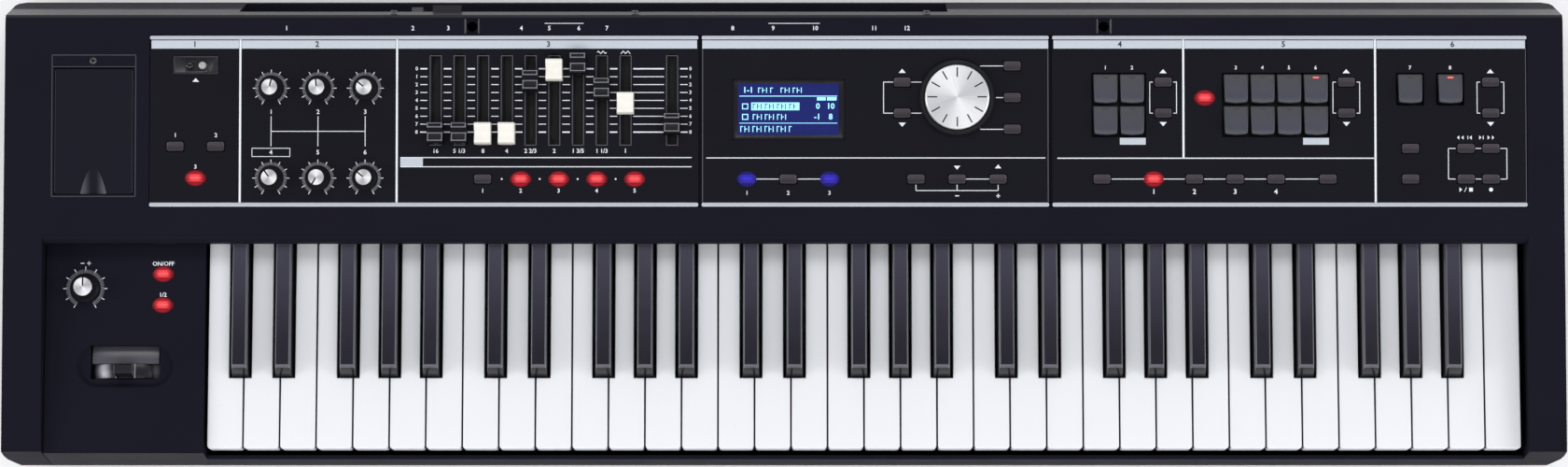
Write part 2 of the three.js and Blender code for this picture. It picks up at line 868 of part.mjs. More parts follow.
const knobRadius = 7.6;
const knobShoulderRadius = 6.4;
const knobTopRadius = 5.6;
const knobHeight = 12.4;
const knobFloor = 0.6;
const knobSkirtHeight = 3.2;
const knobShoulderRise = 0.8;
const pointerWidth = 0.9;
const pointerDepth = 0.5;
const pointerInner = 1.4;

// A knob on a shaft whose end is shaftRise above the face that the knob turns over
function knob(name, [x, y], bearing, scale = 1) {
  const bore = shaftRadius + clearance;
  const body = cut(
    turned([
      [bore, knobFloor],
      [knobRadius * scale, knobFloor],
      [knobRadius * scale, knobSkirtHeight],
      [knobShoulderRadius * scale, knobSkirtHeight + knobShoulderRise],
      [knobTopRadius * scale, knobHeight],
      [0, knobHeight],
      [0, shaftRise + clearance],
      [bore, shaftRise + clearance],
      [bore, knobFloor],
    ]),
    between(
      -pointerWidth / 2,
      pointerWidth / 2,
      pointerInner,
      knobRadius * scale,
      knobHeight - pointerDepth,
      knobHeight + overrun,
    ),
  );
  const mesh = named(name, body, silver);
  mesh.position.set(x, y, 0);
  mesh.rotation.z = -bearing;
  return mesh;
}

const effectBearings = [15, -5, -50, -35, -150, -50].map((angle) => angle * degree);
const effectNames = ["1", "2", "3", "4", "5", "6"];
effectKnobs.forEach((place, i) => {
  panel.add(knob("effect_knob_" + effectNames[i], place, effectBearings[i]));
});

const dialHeight = 7;
const dialChamfer = 0.8;
const dialFloor = 0.6;
const encoderRise = 4.5;
const dialBore = shaftRadius + clearance;
const dial = named(
  "value_dial",
  turned(
    [
      [dialBore, dialFloor],
      [dialRadius, dialFloor],
      [dialRadius, dialHeight - dialChamfer],
      [dialRadius - dialChamfer, dialHeight],
      [0, dialHeight],
      [0, encoderRise + clearance],
      [dialBore, encoderRise + clearance],
      [dialBore, dialFloor],
    ],
    knobSides * 2,
  ),
  silver,
);
dial.position.set(dialPlace[0], dialPlace[1], 0);
panel.add(dial);

const capWidth = 11.2;
const capDepth = 14;
const capFloor = 0.9;
const capRearRise = 11;
const capFrontRise = 9.6;
const capValleyRise = 7.4;
const capEdge = 1.2;
const capNose = 6.4;
const sliderStemWidth = 2.6;
const sliderStemDepth = 5;
const sliderBodyTop = -7.9;
const sliderBodyEnds = 5;

function sliderCap(name, x, rest, material) {
  const half = capDepth / 2;
  const profile = [
    [-half, capFloor],
    [half, capFloor],
    [half, capRearRise - capEdge],
    [half - capEdge, capRearRise],
    [half - 2 * capEdge, capRearRise],
    [0, capValleyRise],
    [2 * capEdge - half, capFrontRise],
    [capEdge - half, capFrontRise],
    [-half, capNose],
  ];
  const mesh = named(
    name,
    join(
      prismX(profile, -capWidth / 2, capWidth / 2),
      centredBox(
        0,
        0,
        sliderStemWidth,
        sliderStemDepth,
        sliderBodyTop + clearance,
        capFloor + overrun,
      ),
    ),
    material,
  );
  mesh.position.set(x, sliderLowest + rest, 0);
  return mesh;
}

const whiteCaps = [2, 3, 5, 8];
sliderColumns.forEach((x, i) => {
  const name = i < drawbarCount ? "drawbar_" + (i + 1) : "level_slider";
  const material = whiteCaps.includes(i) ? drawbarWhite : smokedBlack;
  panel.add(sliderCap(name, x, sliderRest[i], material));
});

// What sits under the plates

const postGap = clearance;
const boardPostRadius = 2.4;
const boardLeft = plateDivisions[0] + seatLedge;
const boardRight = plateDivisions[3] - seatLedge;
const potBody = 11;
const potTop = -6;
const boardPostRows = [plateFront + seatLedge / 2 + boardMargin / 2, plateRear - seatLedge / 2];

function panelBoard() {
  const sheet = between(
    boardLeft,
    boardRight,
    plateFront + seatLedge / 2,
    plateRear,
    -boardDepth,
    boardTop,
  );
  const allButtons = [
    ...beamButtons,
    ...organButtons,
    ...modeButtons,
    ...octaveButtons,
    ...cursorButtons,
    ...menuButtons,
    ...tonePlateButtons,
    ...pianoPads,
    ...synthPads,
    ...drumPads,
  ];
  const switches = allButtons.map(([x, y]) =>
    centredBox(x, y, switchWidth, switchWidth, boardTop - overrun / 2, switchTop),
  );
  const sliders = sliderColumns.map((x) =>
    between(
      x - sliderBodyWidth / 2,
      x + sliderBodyWidth / 2,
      sliderLowest - slotEnds - sliderBodyEnds,
      sliderLowest + sliderTravel + slotEnds + sliderBodyEnds,
      boardTop - overrun / 2,
      sliderBodyTop,
    ),
  );
  const pots = [...effectKnobs, dialPlace].flatMap(([x, y]) => [
    centredBox(x, y, potBody, potBody, boardTop - overrun / 2, potTop),
  ]);
  const shafts = [
    ...effectKnobs.map(([x, y]) => disc(x, y, shaftRadius, potTop - overrun, shaftRise)),
    disc(...dialPlace, shaftRadius, potTop - overrun, encoderRise),
  ];
  const posts = [0, 1, 2].flatMap((i) =>
    [plateLeft(i) + seatLedge / 2 + boardPostRadius, plateRight(i) - seatLedge / 2 - boardPostRadius].map(
      (x) => disc(x, boardPostRows[1], boardPostRadius, boardTop - overrun / 2, -wall - postGap, postSides),
    ),
  );
  return join(sheet, switches, sliders, pots, shafts, posts);
}
panel.add(named("panel_board", panelBoard(), boardGreen));

const lensThickness = 1.3;
const lensSink = 0.2;
const displayBody = 5.5;
const displayMargin = 2;
const displayPinRadius = 1.2;
function displayModule() {
  const [x, y] = displayPlace;
  const [width, depth] = displaySize;
  const bodyBottom = -lensSink - lensThickness - displayBody;
  const pins = corners(displayPlace, displaySize, displayMargin * 2).map(([px, py]) =>
    disc(px, py, displayPinRadius, boardTop + clearance, bodyBottom + overrun, postSides),
  );
  return join(
    centredBox(x, y, width, depth, -lensSink - lensThickness, -lensSink),
    centredBox(
      x,
      y,
      width - 2 * displayMargin,
      depth - 2 * displayMargin,
      bodyBottom,
      -lensSink - lensThickness / 2,
    ),
    pins,
  );
}
panel.add(named("display_module", displayModule(), glassBlue));

const beamRise = 0.4;
const beamTrough = 3.4;
const beamEyeRadius = 2.4;
const beamEyeSpread = 8.2;
const beamEyeRise = 2.2;
const beamRim = 1.2;
const beamSlope = 6;
function beamSensor() {
  const [x, y] = beamPlace;
  const [width, depth] = beamSize;
  const body = centredBox(x, y, width, depth, boardTop + clearance, beamRise);
  const trough = prismY(
    [
      [beamRim - width / 2, beamRise + overrun],
      [beamRim - width / 2, beamRise],
      [-width / 2 + beamRim + beamSlope, beamRise - beamTrough],
      [width / 2 - beamRim - beamSlope, beamRise - beamTrough],
      [width / 2 - beamRim, beamRise],
      [width / 2 - beamRim, beamRise + overrun],
    ].reverse(),
    y - depth / 2 + beamRim,
    y + depth / 2 - beamRim,
  ).translate(x, 0, 0);
  const eyes = [-beamEyeSpread / 2, beamEyeSpread / 2].map((dx) =>
    disc(
      x + dx,
      y,
      beamEyeRadius,
      beamRise - beamTrough - overrun,
      beamRise - beamTrough + beamEyeRise,
      postSides,
    ),
  );
  return join(cut(body, trough), eyes);
}
panel.add(named("beam_sensor", beamSensor(), smokedBlack));

// The memory compartment: a tray with a socket, and its hinged door

const trayWall = 1.6;
const trayDepth = 26;
const socketWidth = 14.4;
const socketHeight = 7.2;
const socketLength = 14;
const socketMouthWidth = 12.2;
const socketMouthHeight = 4;
const socketLift = 3;

function memoryTray() {
  const [x, y] = doorPlace;
  const inner = [doorSize[0] - 2 * doorLedge, doorSize[1] - 2 * doorLedge];
  const top = -wall - clearance;
  const tray = cut(
    centredBox(x, y, inner[0] + 2 * trayWall, inner[1] + 2 * trayWall, -trayDepth, top),
    centredBox(x, y, ...inner, -trayDepth + trayWall, top + overrun),
  );
  const rear = y + inner[1] / 2;
  const socketBottom = -trayDepth + trayWall + socketLift;
  const pedestal = between(
    x - socketWidth / 2,
    x + socketWidth / 2,
    rear - socketLength,
    rear + trayWall / 2,
    -trayDepth + trayWall / 2,
    socketBottom + socketHeight,
  );
  const mouthBottom = socketBottom + (socketHeight - socketMouthHeight) / 2;
  const mouth = between(
    x - socketMouthWidth / 2,
    x + socketMouthWidth / 2,
    rear - socketLength - overrun,
    rear - trayWall,
    mouthBottom,
    mouthBottom + socketMouthHeight,
  );
  return cut(join(tray, pedestal), mouth);
}
panel.add(named("memory_port", memoryTray(), smokedBlack));

const scoopRadius = 22;
const scoopLength = 30;
const scoopDepth = 1.5;
const scoopTilt = 5.4 * degree;
function memoryDoor() {
  const [x, y] = doorPlace;
  const [width, length] = doorSize;
  const front = y - length / 2;
  const leaf = between(
    x - width / 2,
    x + width / 2,
    front,
    hingeLine,
    -doorThickness,
    0,
  );
  const barrel = rodAlongX(x - width / 2, x + width / 2, hingeLine, -hingeRadius, hingeRadius);
  const pins = rodAlongX(
    x - width / 2 - hingePinLength,
    x + width / 2 + hingePinLength,
    hingeLine,
    -hingeRadius,
    hingePinRadius,
  );
  const scoop = new THREE.CylinderGeometry(scoopRadius, scoopRadius, scoopLength, knobSides * 2)
    .translate(0, scoopLength / 2, scoopRadius - scoopDepth)
    .rotateX(scoopTilt)
    .translate(x, front - overrun, 0);
  return join(cut(leaf, scoop), barrel, pins);
}
panel.add(named("memory_door", memoryDoor(), blackPlastic));

// The control block beside the keys

// Places on the block are measured from the key well's left side and from the case's front
const onBlock = ([x, y]) => [wellLeft + x, caseFront + y];
const volumeSetbacks = [25.9, 110.3];
const volumePlace = onBlock(volumeSetbacks);
const rotaryButtonPlaces = [
  [76, 119.7],
  [76, 99.6],
];
const rotaryButtons = rotaryButtonPlaces.map(onBlock);
const blockRear = panelFront + lipRadius;
const blockWall = 3;
const benderSetbacks = [52.1, 62.8];
const benderPlace = onBlock(benderSetbacks);
const benderOpening = [44.6, 21.4];
const dishSize = [62.6, 27.6];
const dishShift = -2.6; // the dish lies nearer the player than the opening
const dishDepth = 3;
const dishSlope = 2.6;
const blockButtonFloor = blockHeight - blockWall;

function controlBlock() {
  const frontRunAt = (z) =>
    (frontRun * (z - partingHeight)) / (panelHeightAt(caseFront) - partingHeight);
  const profile = (inset, top) => [
    [caseFront + inset, partingHeight + (inset ? -overrun : clearance)],
    [blockRear + (inset ? overrun : 0), partingHeight + (inset ? -overrun : clearance)],
    [blockRear + (inset ? overrun : 0), top],
    [caseFront + frontRunAt(top) + inset, top],
  ];
  const shell = cut(
    prismX(profile(0, blockHeight), blockLeft, blockRight),
    prismX(
      profile(blockWall, blockHeight - blockWall),
      blockLeft + blockWall,
      blockRight - blockWall,
    ),
  );
  const [bx, by] = benderPlace;
  const dish = new THREE.ExtrudeGeometry(
    outline(
      roundedRectangle(
        bx,
        by + dishShift,
        dishSize[0] - 2 * dishSlope,
        dishSize[1] - 2 * dishSlope,
        dishSize[1] / 2 - dishSlope - clearance,
        4,
      ),
    ),
    {
      depth: overrun,
      bevelThickness: dishDepth,
      bevelSize: dishSlope,
      bevelSegments: 1,
      bevelEnabled: true,
    },
  ).translate(0, 0, blockHeight);
  const dishBacking = centredBox(
    bx,
    by + dishShift,
    dishSize[0] + blockWall,
    dishSize[1] + blockWall,
    blockHeight - dishDepth - blockWall,
    blockHeight - blockWall / 2,
  );
  const through = [blockHeight - dishDepth - 2 * blockWall, blockHeight + overrun];
  const holes = [
    centredBox(bx, by, ...benderOpening, ...through),
    disc(...volumePlace, shaftHoleRadius, ...through),
    ...rotaryButtons.map(([x, y]) =>
      centredBox(x, y, buttonWidth + 2 * clearance, buttonDepth + 2 * clearance, ...through),
    ),
  ];
  return cut(join(shell, dishBacking), dish, holes);
}
organ.add(named("control_block", controlBlock(), blackPlastic));

const volumeScale = 1.18;
const volumeKnob = knob("volume_knob", volumePlace, 0, volumeScale);
volumeKnob.position.z = blockHeight;
organ.add(volumeKnob);

// The rotary speaker buttons: the same caps, on their own web under the block
const blockWebTop = blockHeight - blockWall - clearance;
const blockButtonRise = blockHeight + buttonRise;
const blockSwitchTop = blockWebTop - webThickness - switchGap - buttonTravel;
const blockSwitchHeight = 4.6;
const rotarySet = join(
  rotaryButtons.map(([x, y]) =>
    centredBox(x, y, buttonWidth, buttonDepth, blockWebTop - webThickness, blockButtonRise),
  ),
  between(
    rotaryButtons[0][0] - webWidth / 2,
    rotaryButtons[0][0] + webWidth / 2,
    rotaryButtons[1][1],
    rotaryButtons[0][1],
    blockWebTop - webThickness,
    blockWebTop,
  ),
);
organ.add(named("rotary_buttons", rotarySet, capGrey));

// The bender: the yoke tips to and fro about a line along X, and carries the lever, which
// swings from side to side about a pin along Y
const benderSink = 35; // the pivot under the block's top
const benderPivotHeight = blockHeight - benderSink;
const trunnionRadius = 3;
const benderHalfWidth = 23.5;
const cheekThickness = 2.4;
const yokeSink = 4.8; // the yoke's highest line under the block's top
const yokeRadius = benderSink - yokeSink;
const shieldThickness = 2;
const shieldGap = 0.2; // between the lever's shield and the yoke's
const shieldHalfWidth = 21.4;
const leverRadius = yokeRadius + shieldGap + shieldThickness;
const leverShieldDepth = 9;
const leverShieldAngle = 44 * degree;
const yokeRearAngle = 46 * degree;
const gripWidth = 11.5;
const gripRise = 9;
const gripDepth = 8;
const gripEdge = 1;
const hubRadius = 5;
const hubLength = 9;
const pitchPinRadius = 2.4;
const leverWebWidth = 8;
const leverWebThickness = 3.4;
const shieldSteps = 6;
const [benderX, benderY] = benderPlace;
const leverFront = benderY - benderOpening[1] / 2 + blockClearance * 1.4;
const leverRear = leverFront + leverShieldDepth;

// A curved shield: a ring segment in the plane (a, b) about the pivot
const segment = (radius, thickness, from, to) => [
  ...arc(0, 0, radius, from, to, shieldSteps),
  ...arc(0, 0, radius - thickness, to, from, shieldSteps),
];

function benderYoke() {
  const yokeFront = leverRear + clearance - benderY;
  const start = Math.acos(yokeFront / yokeRadius);
  const shield = prismX(
    segment(yokeRadius, shieldThickness, start - yokeRearAngle, start),
    -shieldHalfWidth,
    shieldHalfWidth,
  );
  const arms = [-1, 1].map((side) =>
    prismX(
      [
        [yokeFront, -trunnionRadius],
        [hubLength, -trunnionRadius],
        [
          (yokeRadius - shieldThickness / 2) * Math.cos(start - yokeRearAngle / 2),
          (yokeRadius - shieldThickness / 2) * Math.sin(start - yokeRearAngle / 2),
        ],
        [
          (yokeRadius - shieldThickness / 2) * Math.cos(start),
          (yokeRadius - shieldThickness / 2) * Math.sin(start),
        ],
      ],
      side > 0 ? shieldHalfWidth - cheekThickness : -shieldHalfWidth,
      side > 0 ? shieldHalfWidth : cheekThickness - shieldHalfWidth,
    ),
  );
  const crossBar = prismX(
    [
      [hubLength / 2 + clearance, -trunnionRadius],
      [hubLength / 2 + 2 * trunnionRadius, -trunnionRadius],
      [hubLength / 2 + 2 * trunnionRadius, trunnionRadius],
      [hubLength / 2 + clearance, trunnionRadius],
    ],
    -shieldHalfWidth,
    shieldHalfWidth,
  );
  const sideLinks = [-1, 1].map((side) =>
    between(
      side > 0 ? shieldHalfWidth - cheekThickness : -shieldHalfWidth,
      side > 0 ? shieldHalfWidth : cheekThickness - shieldHalfWidth,
      -trunnionRadius,
      hubLength / 2 + 2 * trunnionRadius,
      -trunnionRadius,
      trunnionRadius,
    ),
  );
  const trunnions = [
    rodAlongX(-benderHalfWidth - cheekThickness, -shieldHalfWidth + overrun, 0, 0, trunnionRadius),
    rodAlongX(shieldHalfWidth - overrun, benderHalfWidth + cheekThickness, 0, 0, trunnionRadius),
  ];
  const pitchPin = rodAlongY(
    0,
    -hubLength / 2,
    hubLength / 2 + trunnionRadius,
    0,
    pitchPinRadius,
  );
  return join(shield, arms, crossBar, sideLinks, trunnions, pitchPin);
}

function benderLever() {
  const up = Math.PI / 2;
  const front = leverFront - benderY;
  const rear = leverRear - benderY;
  const shield = prismY(
    segment(leverRadius, shieldThickness, up - leverShieldAngle, up + leverShieldAngle),
    front,
    rear,
  );
  const top = blockHeight + gripRise - benderPivotHeight;
  const grip = prismX(
    [
      [front + clearance, leverRadius - shieldThickness],
      [front + gripDepth, leverRadius - shieldThickness],
      [front + gripDepth, top - gripEdge],
      [front + gripDepth - gripEdge, top],
      [front + 2 * gripEdge, top],
      [front + clearance, leverRadius + gripEdge],
    ],
    -gripWidth / 2,
    gripWidth / 2,
  );
  const hub = cut(
    rodAlongY(0, -hubLength / 2, hubLength / 2, 0, hubRadius),
    rodAlongY(0, -hubLength, hubLength, 0, pitchPinRadius + clearance),
  );
  const web = between(
    -leverWebWidth / 2,
    leverWebWidth / 2,
    -hubLength / 2,
    -hubLength / 2 + leverWebThickness,
    hubRadius - overrun / 2,
    leverRadius - shieldThickness / 2,
  );
  return join(shield, grip, hub, web);
}

const placedBender = (name, shape, material) => {
  const mesh = named(name, shape, material);
  mesh.position.set(benderX, benderY, benderPivotHeight);
  return mesh;
};
organ.add(placedBender("bender_yoke", benderYoke(), smokedBlack));
organ.add(placedBender("bender_lever", benderLever(), smokedBlack));

// The bracket under the control block: it holds the bender's bearings, and a shelf with the
// volume control and two switches
const bracketThickness = 2;
const bearingMargin = 6;
const shelfThickness = 1.6;
const shelfTop = blockSwitchTop - blockSwitchHeight;
const shelfMargin = 11;
const shelfLeg = 4;

function controlBracket() {
  const [x, y] = bracketPlace;
  const base = centredBox(x, y, ...bracketSize, bracketHeight, bracketHeight + bracketThickness);
  const bearings = [-1, 1].map((side) => {
    const inner = benderX + side * benderHalfWidth;
    const outer = inner + side * cheekThickness;
    const body = between(
      Math.min(inner, outer),
      Math.max(inner, outer),
      benderY - bearingMargin,
      benderY + bearingMargin,
      bracketHeight + bracketThickness / 2,
      benderPivotHeight + bearingMargin,
    );
    return cut(
      body,
      rodAlongX(
        Math.min(inner, outer) - overrun,
        Math.max(inner, outer) + overrun,
        benderY,
        benderPivotHeight,
        trunnionRadius + clearance,
      ),
    );
  });
  const shelfLow = rotaryButtons[1][1] - shelfMargin;
  const shelfHigh = rotaryButtons[0][1] + shelfMargin;
  const shelfLeft = volumePlace[0] - shelfMargin;
  const shelfRight = rotaryButtons[0][0] + shelfMargin;
  const shelf = between(
    shelfLeft,
    shelfRight,
    shelfLow,
    shelfHigh,
    shelfTop - shelfThickness,
    shelfTop,
  );
  const legs = [shelfLeft, shelfRight - shelfLeg].map((left) =>
    between(
      left,
      left + shelfLeg,
      shelfLow,
      shelfLow + shelfLeg,
      bracketHeight + bracketThickness / 2,
      shelfTop - shelfThickness / 2,
    ),
  );
  const switches = rotaryButtons.map(([sx, sy]) =>
    centredBox(sx, sy, switchWidth, switchWidth, shelfTop - shelfThickness / 2, blockSwitchTop),
  );
  const [vx, vy] = volumePlace;
  const pot = [
    centredBox(vx, vy, potBody, potBody, shelfTop - shelfThickness / 2, blockButtonFloor + potTop / 2),
    disc(vx, vy, shaftRadius, shelfTop, blockHeight + shaftRise),
  ];
  return join(base, bearings, shelf, legs, switches, pot);
}
organ.add(named("control_bracket", controlBracket(), steel));

// The keys

const whiteSkirt = 12;
const whiteFrontSkirt = 17;
const frontBlockDepth = 14;
const keyWall = 2;
const keyRoof = 2.6;
const whiteCorner = 2;
const keyOverhang = 17; // how far a key's body runs under the panel
const keyBodyRear = panelFront + keyOverhang;
const blackLength = 106;
const blackBaseWidth = 12.2;
const blackTopWidth = 9.6;
const blackFrontRun = 6.2;
const blackSkirt = 8;
const blackClearance = 1.15;
const blackFront = keyBodyRear - blackLength;
const notchFront = blackFront - keyGap;
const notchHalf = blackBaseWidth / 2 + blackClearance;
// each black key's middle, as the white gap that it stands over and its shift from it
const blackGaps = [1, 2, 4, 5, 6];
const blackOffset = 2.25;
const blackWideOffset = 3.2;
const blackShifts = [-blackOffset, blackOffset, -blackWideOffset, 0, blackWideOffset];
const barRadius = 3;
const barDrop = 13; // the bars' middle under the white keys' tops
const barHeight = whiteTop - barDrop;
const barSetback = 39.2; // of the first bar from the edge over the keys
const barFirst = panelFront + barSetback;
const barPitch = 7;
const armThickness = 5.4;
const armGap = 1.2; // over the bars that an arm crosses
const armWidth = 7;
const armBottom = barHeight + barRadius + armGap;

const blackMiddle = (octave, i) =>
  keysLeft + (octave * whitesPerOctave + blackGaps[i]) * keyPitch + blackShifts[i];

// The arm from a key's body back to its own bar
const arm = (x, barY) =>
  prismX(
    [
      [keyBodyRear - overrun, armBottom],
      [barY - barRadius, armBottom],
      [barY - barRadius, barHeight],
      [barY + barRadius, barHeight],
      [barY + barRadius, armBottom + armThickness],
      [keyBodyRear - overrun, armBottom + armThickness],
    ],
    x - armWidth / 2,
    x + armWidth / 2,
  );

// A white key's own edges, and those of the lane that the black keys leave it
function whiteSpan(index) {
  const octave = Math.floor(index / whitesPerOctave);
  const place = index % whitesPerOctave;
  const left = keysLeft + index * keyPitch + keyGap / 2;
  const right = left + keyPitch - keyGap;
  const leftBlack = blackGaps.indexOf(place);
  const rightBlack = index === whiteCount - 1 ? -1 : blackGaps.indexOf(place + 1);
  const laneLeft = leftBlack < 0 ? left : blackMiddle(octave, leftBlack) + notchHalf;
  const laneRight = rightBlack < 0 ? right : blackMiddle(octave, rightBlack) - notchHalf;
  return { left, right, laneLeft, laneRight };
}

function whiteKey(index, barY) {
  const { left, right, laneLeft, laneRight } = whiteSpan(index);
  const c = whiteCorner;
  const plan = [
    [left + c, keyFront - overrun],
    [right - c, keyFront - overrun],
    [right - c, keyFront],
    [right, keyFront + c],
    ...(laneRight < right ? [[right, notchFront]] : []),
    ...(laneRight < right ? [[laneRight, notchFront]] : []),
    [laneRight, keyBodyRear],
    [laneLeft, keyBodyRear],
    ...(laneLeft > left ? [[laneLeft, notchFront]] : []),
    ...(laneLeft > left ? [[left, notchFront]] : []),
    [left, keyFront + c],
    [left + c, keyFront],
  ];
  const side = [
    [keyFront, whiteTop - whiteFrontSkirt],
    [keyFront + frontBlockDepth, whiteTop - whiteFrontSkirt],
    [keyFront + frontBlockDepth, whiteTop - whiteSkirt],
    [keyBodyRear, whiteTop - whiteSkirt],
    [keyBodyRear, whiteTop],
    [keyFront, whiteTop],
  ];
  const hollow = between(
    laneLeft + keyWall,
    laneRight - keyWall,
    keyFront + frontBlockDepth,
    keyBodyRear - keyWall,
    whiteTop - whiteSkirt - overrun,
    whiteTop - keyRoof,
  );
  const body = common(
    prismX(side, left - overrun, right + overrun),
    prismZ(plan, whiteTop - whiteFrontSkirt - overrun, whiteTop + overrun),
  );
  return [cut(body, hollow), arm((laneLeft + laneRight) / 2, barY)];
}

function blackKey(octave, i, barY) {
  const x = blackMiddle(octave, i);
  const top = whiteTop + blackHeight;
  const bottom = whiteTop - blackSkirt;
  const section = [
    [-blackBaseWidth / 2, bottom],
    [blackBaseWidth / 2, bottom],
    [blackTopWidth / 2, top],
    [-blackTopWidth / 2, top],
  ];
  const side = [
    [blackFront, bottom - overrun],
    [keyBodyRear, bottom - overrun],
    [keyBodyRear, top + overrun],
    [blackFront + blackFrontRun, top + overrun],
    [blackFront + blackFrontRun, top],
    [blackFront, whiteTop],
  ];
  const body = common(
    prismY(section, blackFront - overrun, keyBodyRear + overrun).translate(x, 0, 0),
    prismX(side, x - blackBaseWidth, x + blackBaseWidth),
  );
  const hollow = centredBox(
    x,
    (blackFront + blackFrontRun + keyBodyRear) / 2,
    blackTopWidth - 2 * keyWall,
    blackLength - blackFrontRun - 2 * keyWall,
    bottom - overrun,
    top - keyRoof,
  );
  return [cut(body, hollow), arm(x, barY)];
}

// Each octave has three mouldings, as a real keybed has: two that share its white keys, so
// that no two neighbours hang on one strip, and one with its black keys
const combs = [
  { name: "white_keys_outer_octave_", places: [0, 2, 4, 6], row: 0, material: ivory },
  { name: "white_keys_inner_octave_", places: [1, 3, 5], row: 1, material: ivory },
  { name: "black_keys_octave_", places: blackGaps, row: 2, material: ebony },
];
const barEnd = 0.6; // each bar stops this far inside its octave
const barLine = (row) => barFirst + row * barPitch;

for (let octave = 0; octave < octaveCount; octave++) {
  const lastOctave = octave === octaveCount - 1;
  const octaveLeftEdge = keysLeft + octave * whitesPerOctave * keyPitch;
  for (const comb of combs) {
    const barY = barLine(comb.row);
    const black = comb.row === 2;
    const keys = comb.places.flatMap((place, i) =>
      black ? blackKey(octave, i, barY) : whiteKey(octave * whitesPerOctave + place, barY),
    );
    const withTopKey = lastOctave && comb.row === 0;
    if (withTopKey) keys.push(...whiteKey(whiteCount - 1, barY));
    const whites = whitesPerOctave + (withTopKey ? 1 : 0);
    const bar = rodAlongX(
      octaveLeftEdge + barEnd,
      octaveLeftEdge + whites * keyPitch - barEnd,
      barY,
      barHeight,
      barRadius,
      barSides,
    );
    organ.add(named(comb.name + (octave + 1), join(keys, bar), comb.material));
  }
}

// The keybed: a frame with the bars' cradle, guides and stops, and the contact board

const frameSetback = 2; // from the keys' fronts
const frameFront = keyFront + frameSetback;
const frameRear = barLine(2) + barPitch;
const cradleTop = barHeight - barRadius - clearance;
const cradleThickness = 3;
const ridgeHeight = 3.2;
const ridgeHalf = 0.3;
const webSheet = 2.4;
const stopDrop = 28; // the stop's top under the white keys' tops
const stopTop = whiteTop - stopDrop;
const stopThickness = 2;
const stopDepth = 20;
const guideWidth = 6;
const guideDepth = 3;
const guideDrop = 13; // the guides' tops under the white keys' tops
const guideSetback = 17; // from the keys' fronts
const whiteGuideTop = whiteTop - guideDrop;
const whiteGuideY = keyFront + guideSetback;
const contactDrop = 24; // the contact board's underside under the white keys' tops
const contactSetback = 78.8; // from the keys' fronts
const contactHeight = whiteTop - contactDrop;
const contactFront = keyFront + contactSetback;
const contactDepth = 34;
const contactPostCount = 6;

function keybedFrame() {
  const left = keysLeft;
  const right = keysRight;
  const sheetTop = frameHeight + frameThickness;
  const sheet = between(left, right, frameFront, frameRear, frameHeight, sheetTop);
  const inSheet = sheetTop - frameThickness / 2;
  const cradleFront = barLine(0) - barRadius - webSheet;
  const cradle = [
    between(left, right, cradleFront, frameRear, cradleTop - cradleThickness, cradleTop),
    between(left, right, cradleFront, cradleFront + webSheet, inSheet, cradleTop),
    between(left, right, frameRear - webSheet, frameRear, inSheet, cradleTop),
    ...[0, 1].map((i) => {
      const middle = (barLine(i) + barLine(i + 1)) / 2;
      return between(
        left,
        right,
        middle - ridgeHalf,
        middle + ridgeHalf,
        cradleTop - cradleThickness / 2,
        cradleTop + ridgeHeight,
      );
    }),
  ];
  const stop = [
    between(left, right, frameFront, frameFront + stopDepth, stopTop - stopThickness, stopTop),
    between(left, right, frameFront, frameFront + webSheet, inSheet, stopTop),
    between(
      left,
      right,
      frameFront + stopDepth - webSheet,
      frameFront + stopDepth,
      inSheet,
      stopTop,
    ),
  ];
  const whiteGuides = Array.from({ length: whiteCount }, (_, i) => {
    const { laneLeft, laneRight } = whiteSpan(i);
    return centredBox(
      (laneLeft + laneRight) / 2,
      whiteGuideY,
      guideWidth,
      guideDepth,
      stopTop - stopThickness / 2,
      whiteGuideTop,
    );
  });
  const contactPosts = Array.from({ length: contactPostCount }, (_, i) => {
    const x = left + (keysWidth * (i + 0.5)) / contactPostCount;
    return centredBox(
      x,
      contactFront + contactDepth / 2,
      guideWidth,
      contactDepth / 2,
      inSheet,
      contactHeight - clearance,
    );
  });
  return join(sheet, cradle, stop, whiteGuides, contactPosts);
}
organ.add(named("keybed_frame", keybedFrame(), steel));

const domeWidth = 9;
const domeTopWidth = 6;
const domeHeight = 4.6;
const domeY = contactFront + contactDepth / 2;
const domeStripDepth = 14;
const domeStripHeight = 0.8;
function contactBoard() {
  const board = between(
    keysLeft,
    keysRight,
    contactFront,
    contactFront + contactDepth,
    contactHeight,
    contactHeight + boardThickness,
  );
  const top = contactHeight + boardThickness;
  const strip = between(
    keysLeft + keyGap,
    keysRight - keyGap,
    domeY - domeStripDepth / 2,
    domeY + domeStripDepth / 2,
    top - boardThickness / 2,
    top + domeStripHeight,
  );
  const half = domeWidth / 2;
  const topHalf = domeTopWidth / 2;
  const domes = Array.from({ length: whiteCount }, (_, i) =>
    prismX(
      [
        [domeY - half, top],
        [domeY + half, top],
        [domeY + topHalf, top + domeHeight],
        [domeY - topHalf, top + domeHeight],
      ],
      keysLeft + (i + 0.5) * keyPitch - half,
      keysLeft + (i + 0.5) * keyPitch + half,
    ),
  );
  return join(board, strip, domes);
}
organ.add(named("key_contact_board", contactBoard(), boardGreen));

// The main board, and the socket unit at the rear

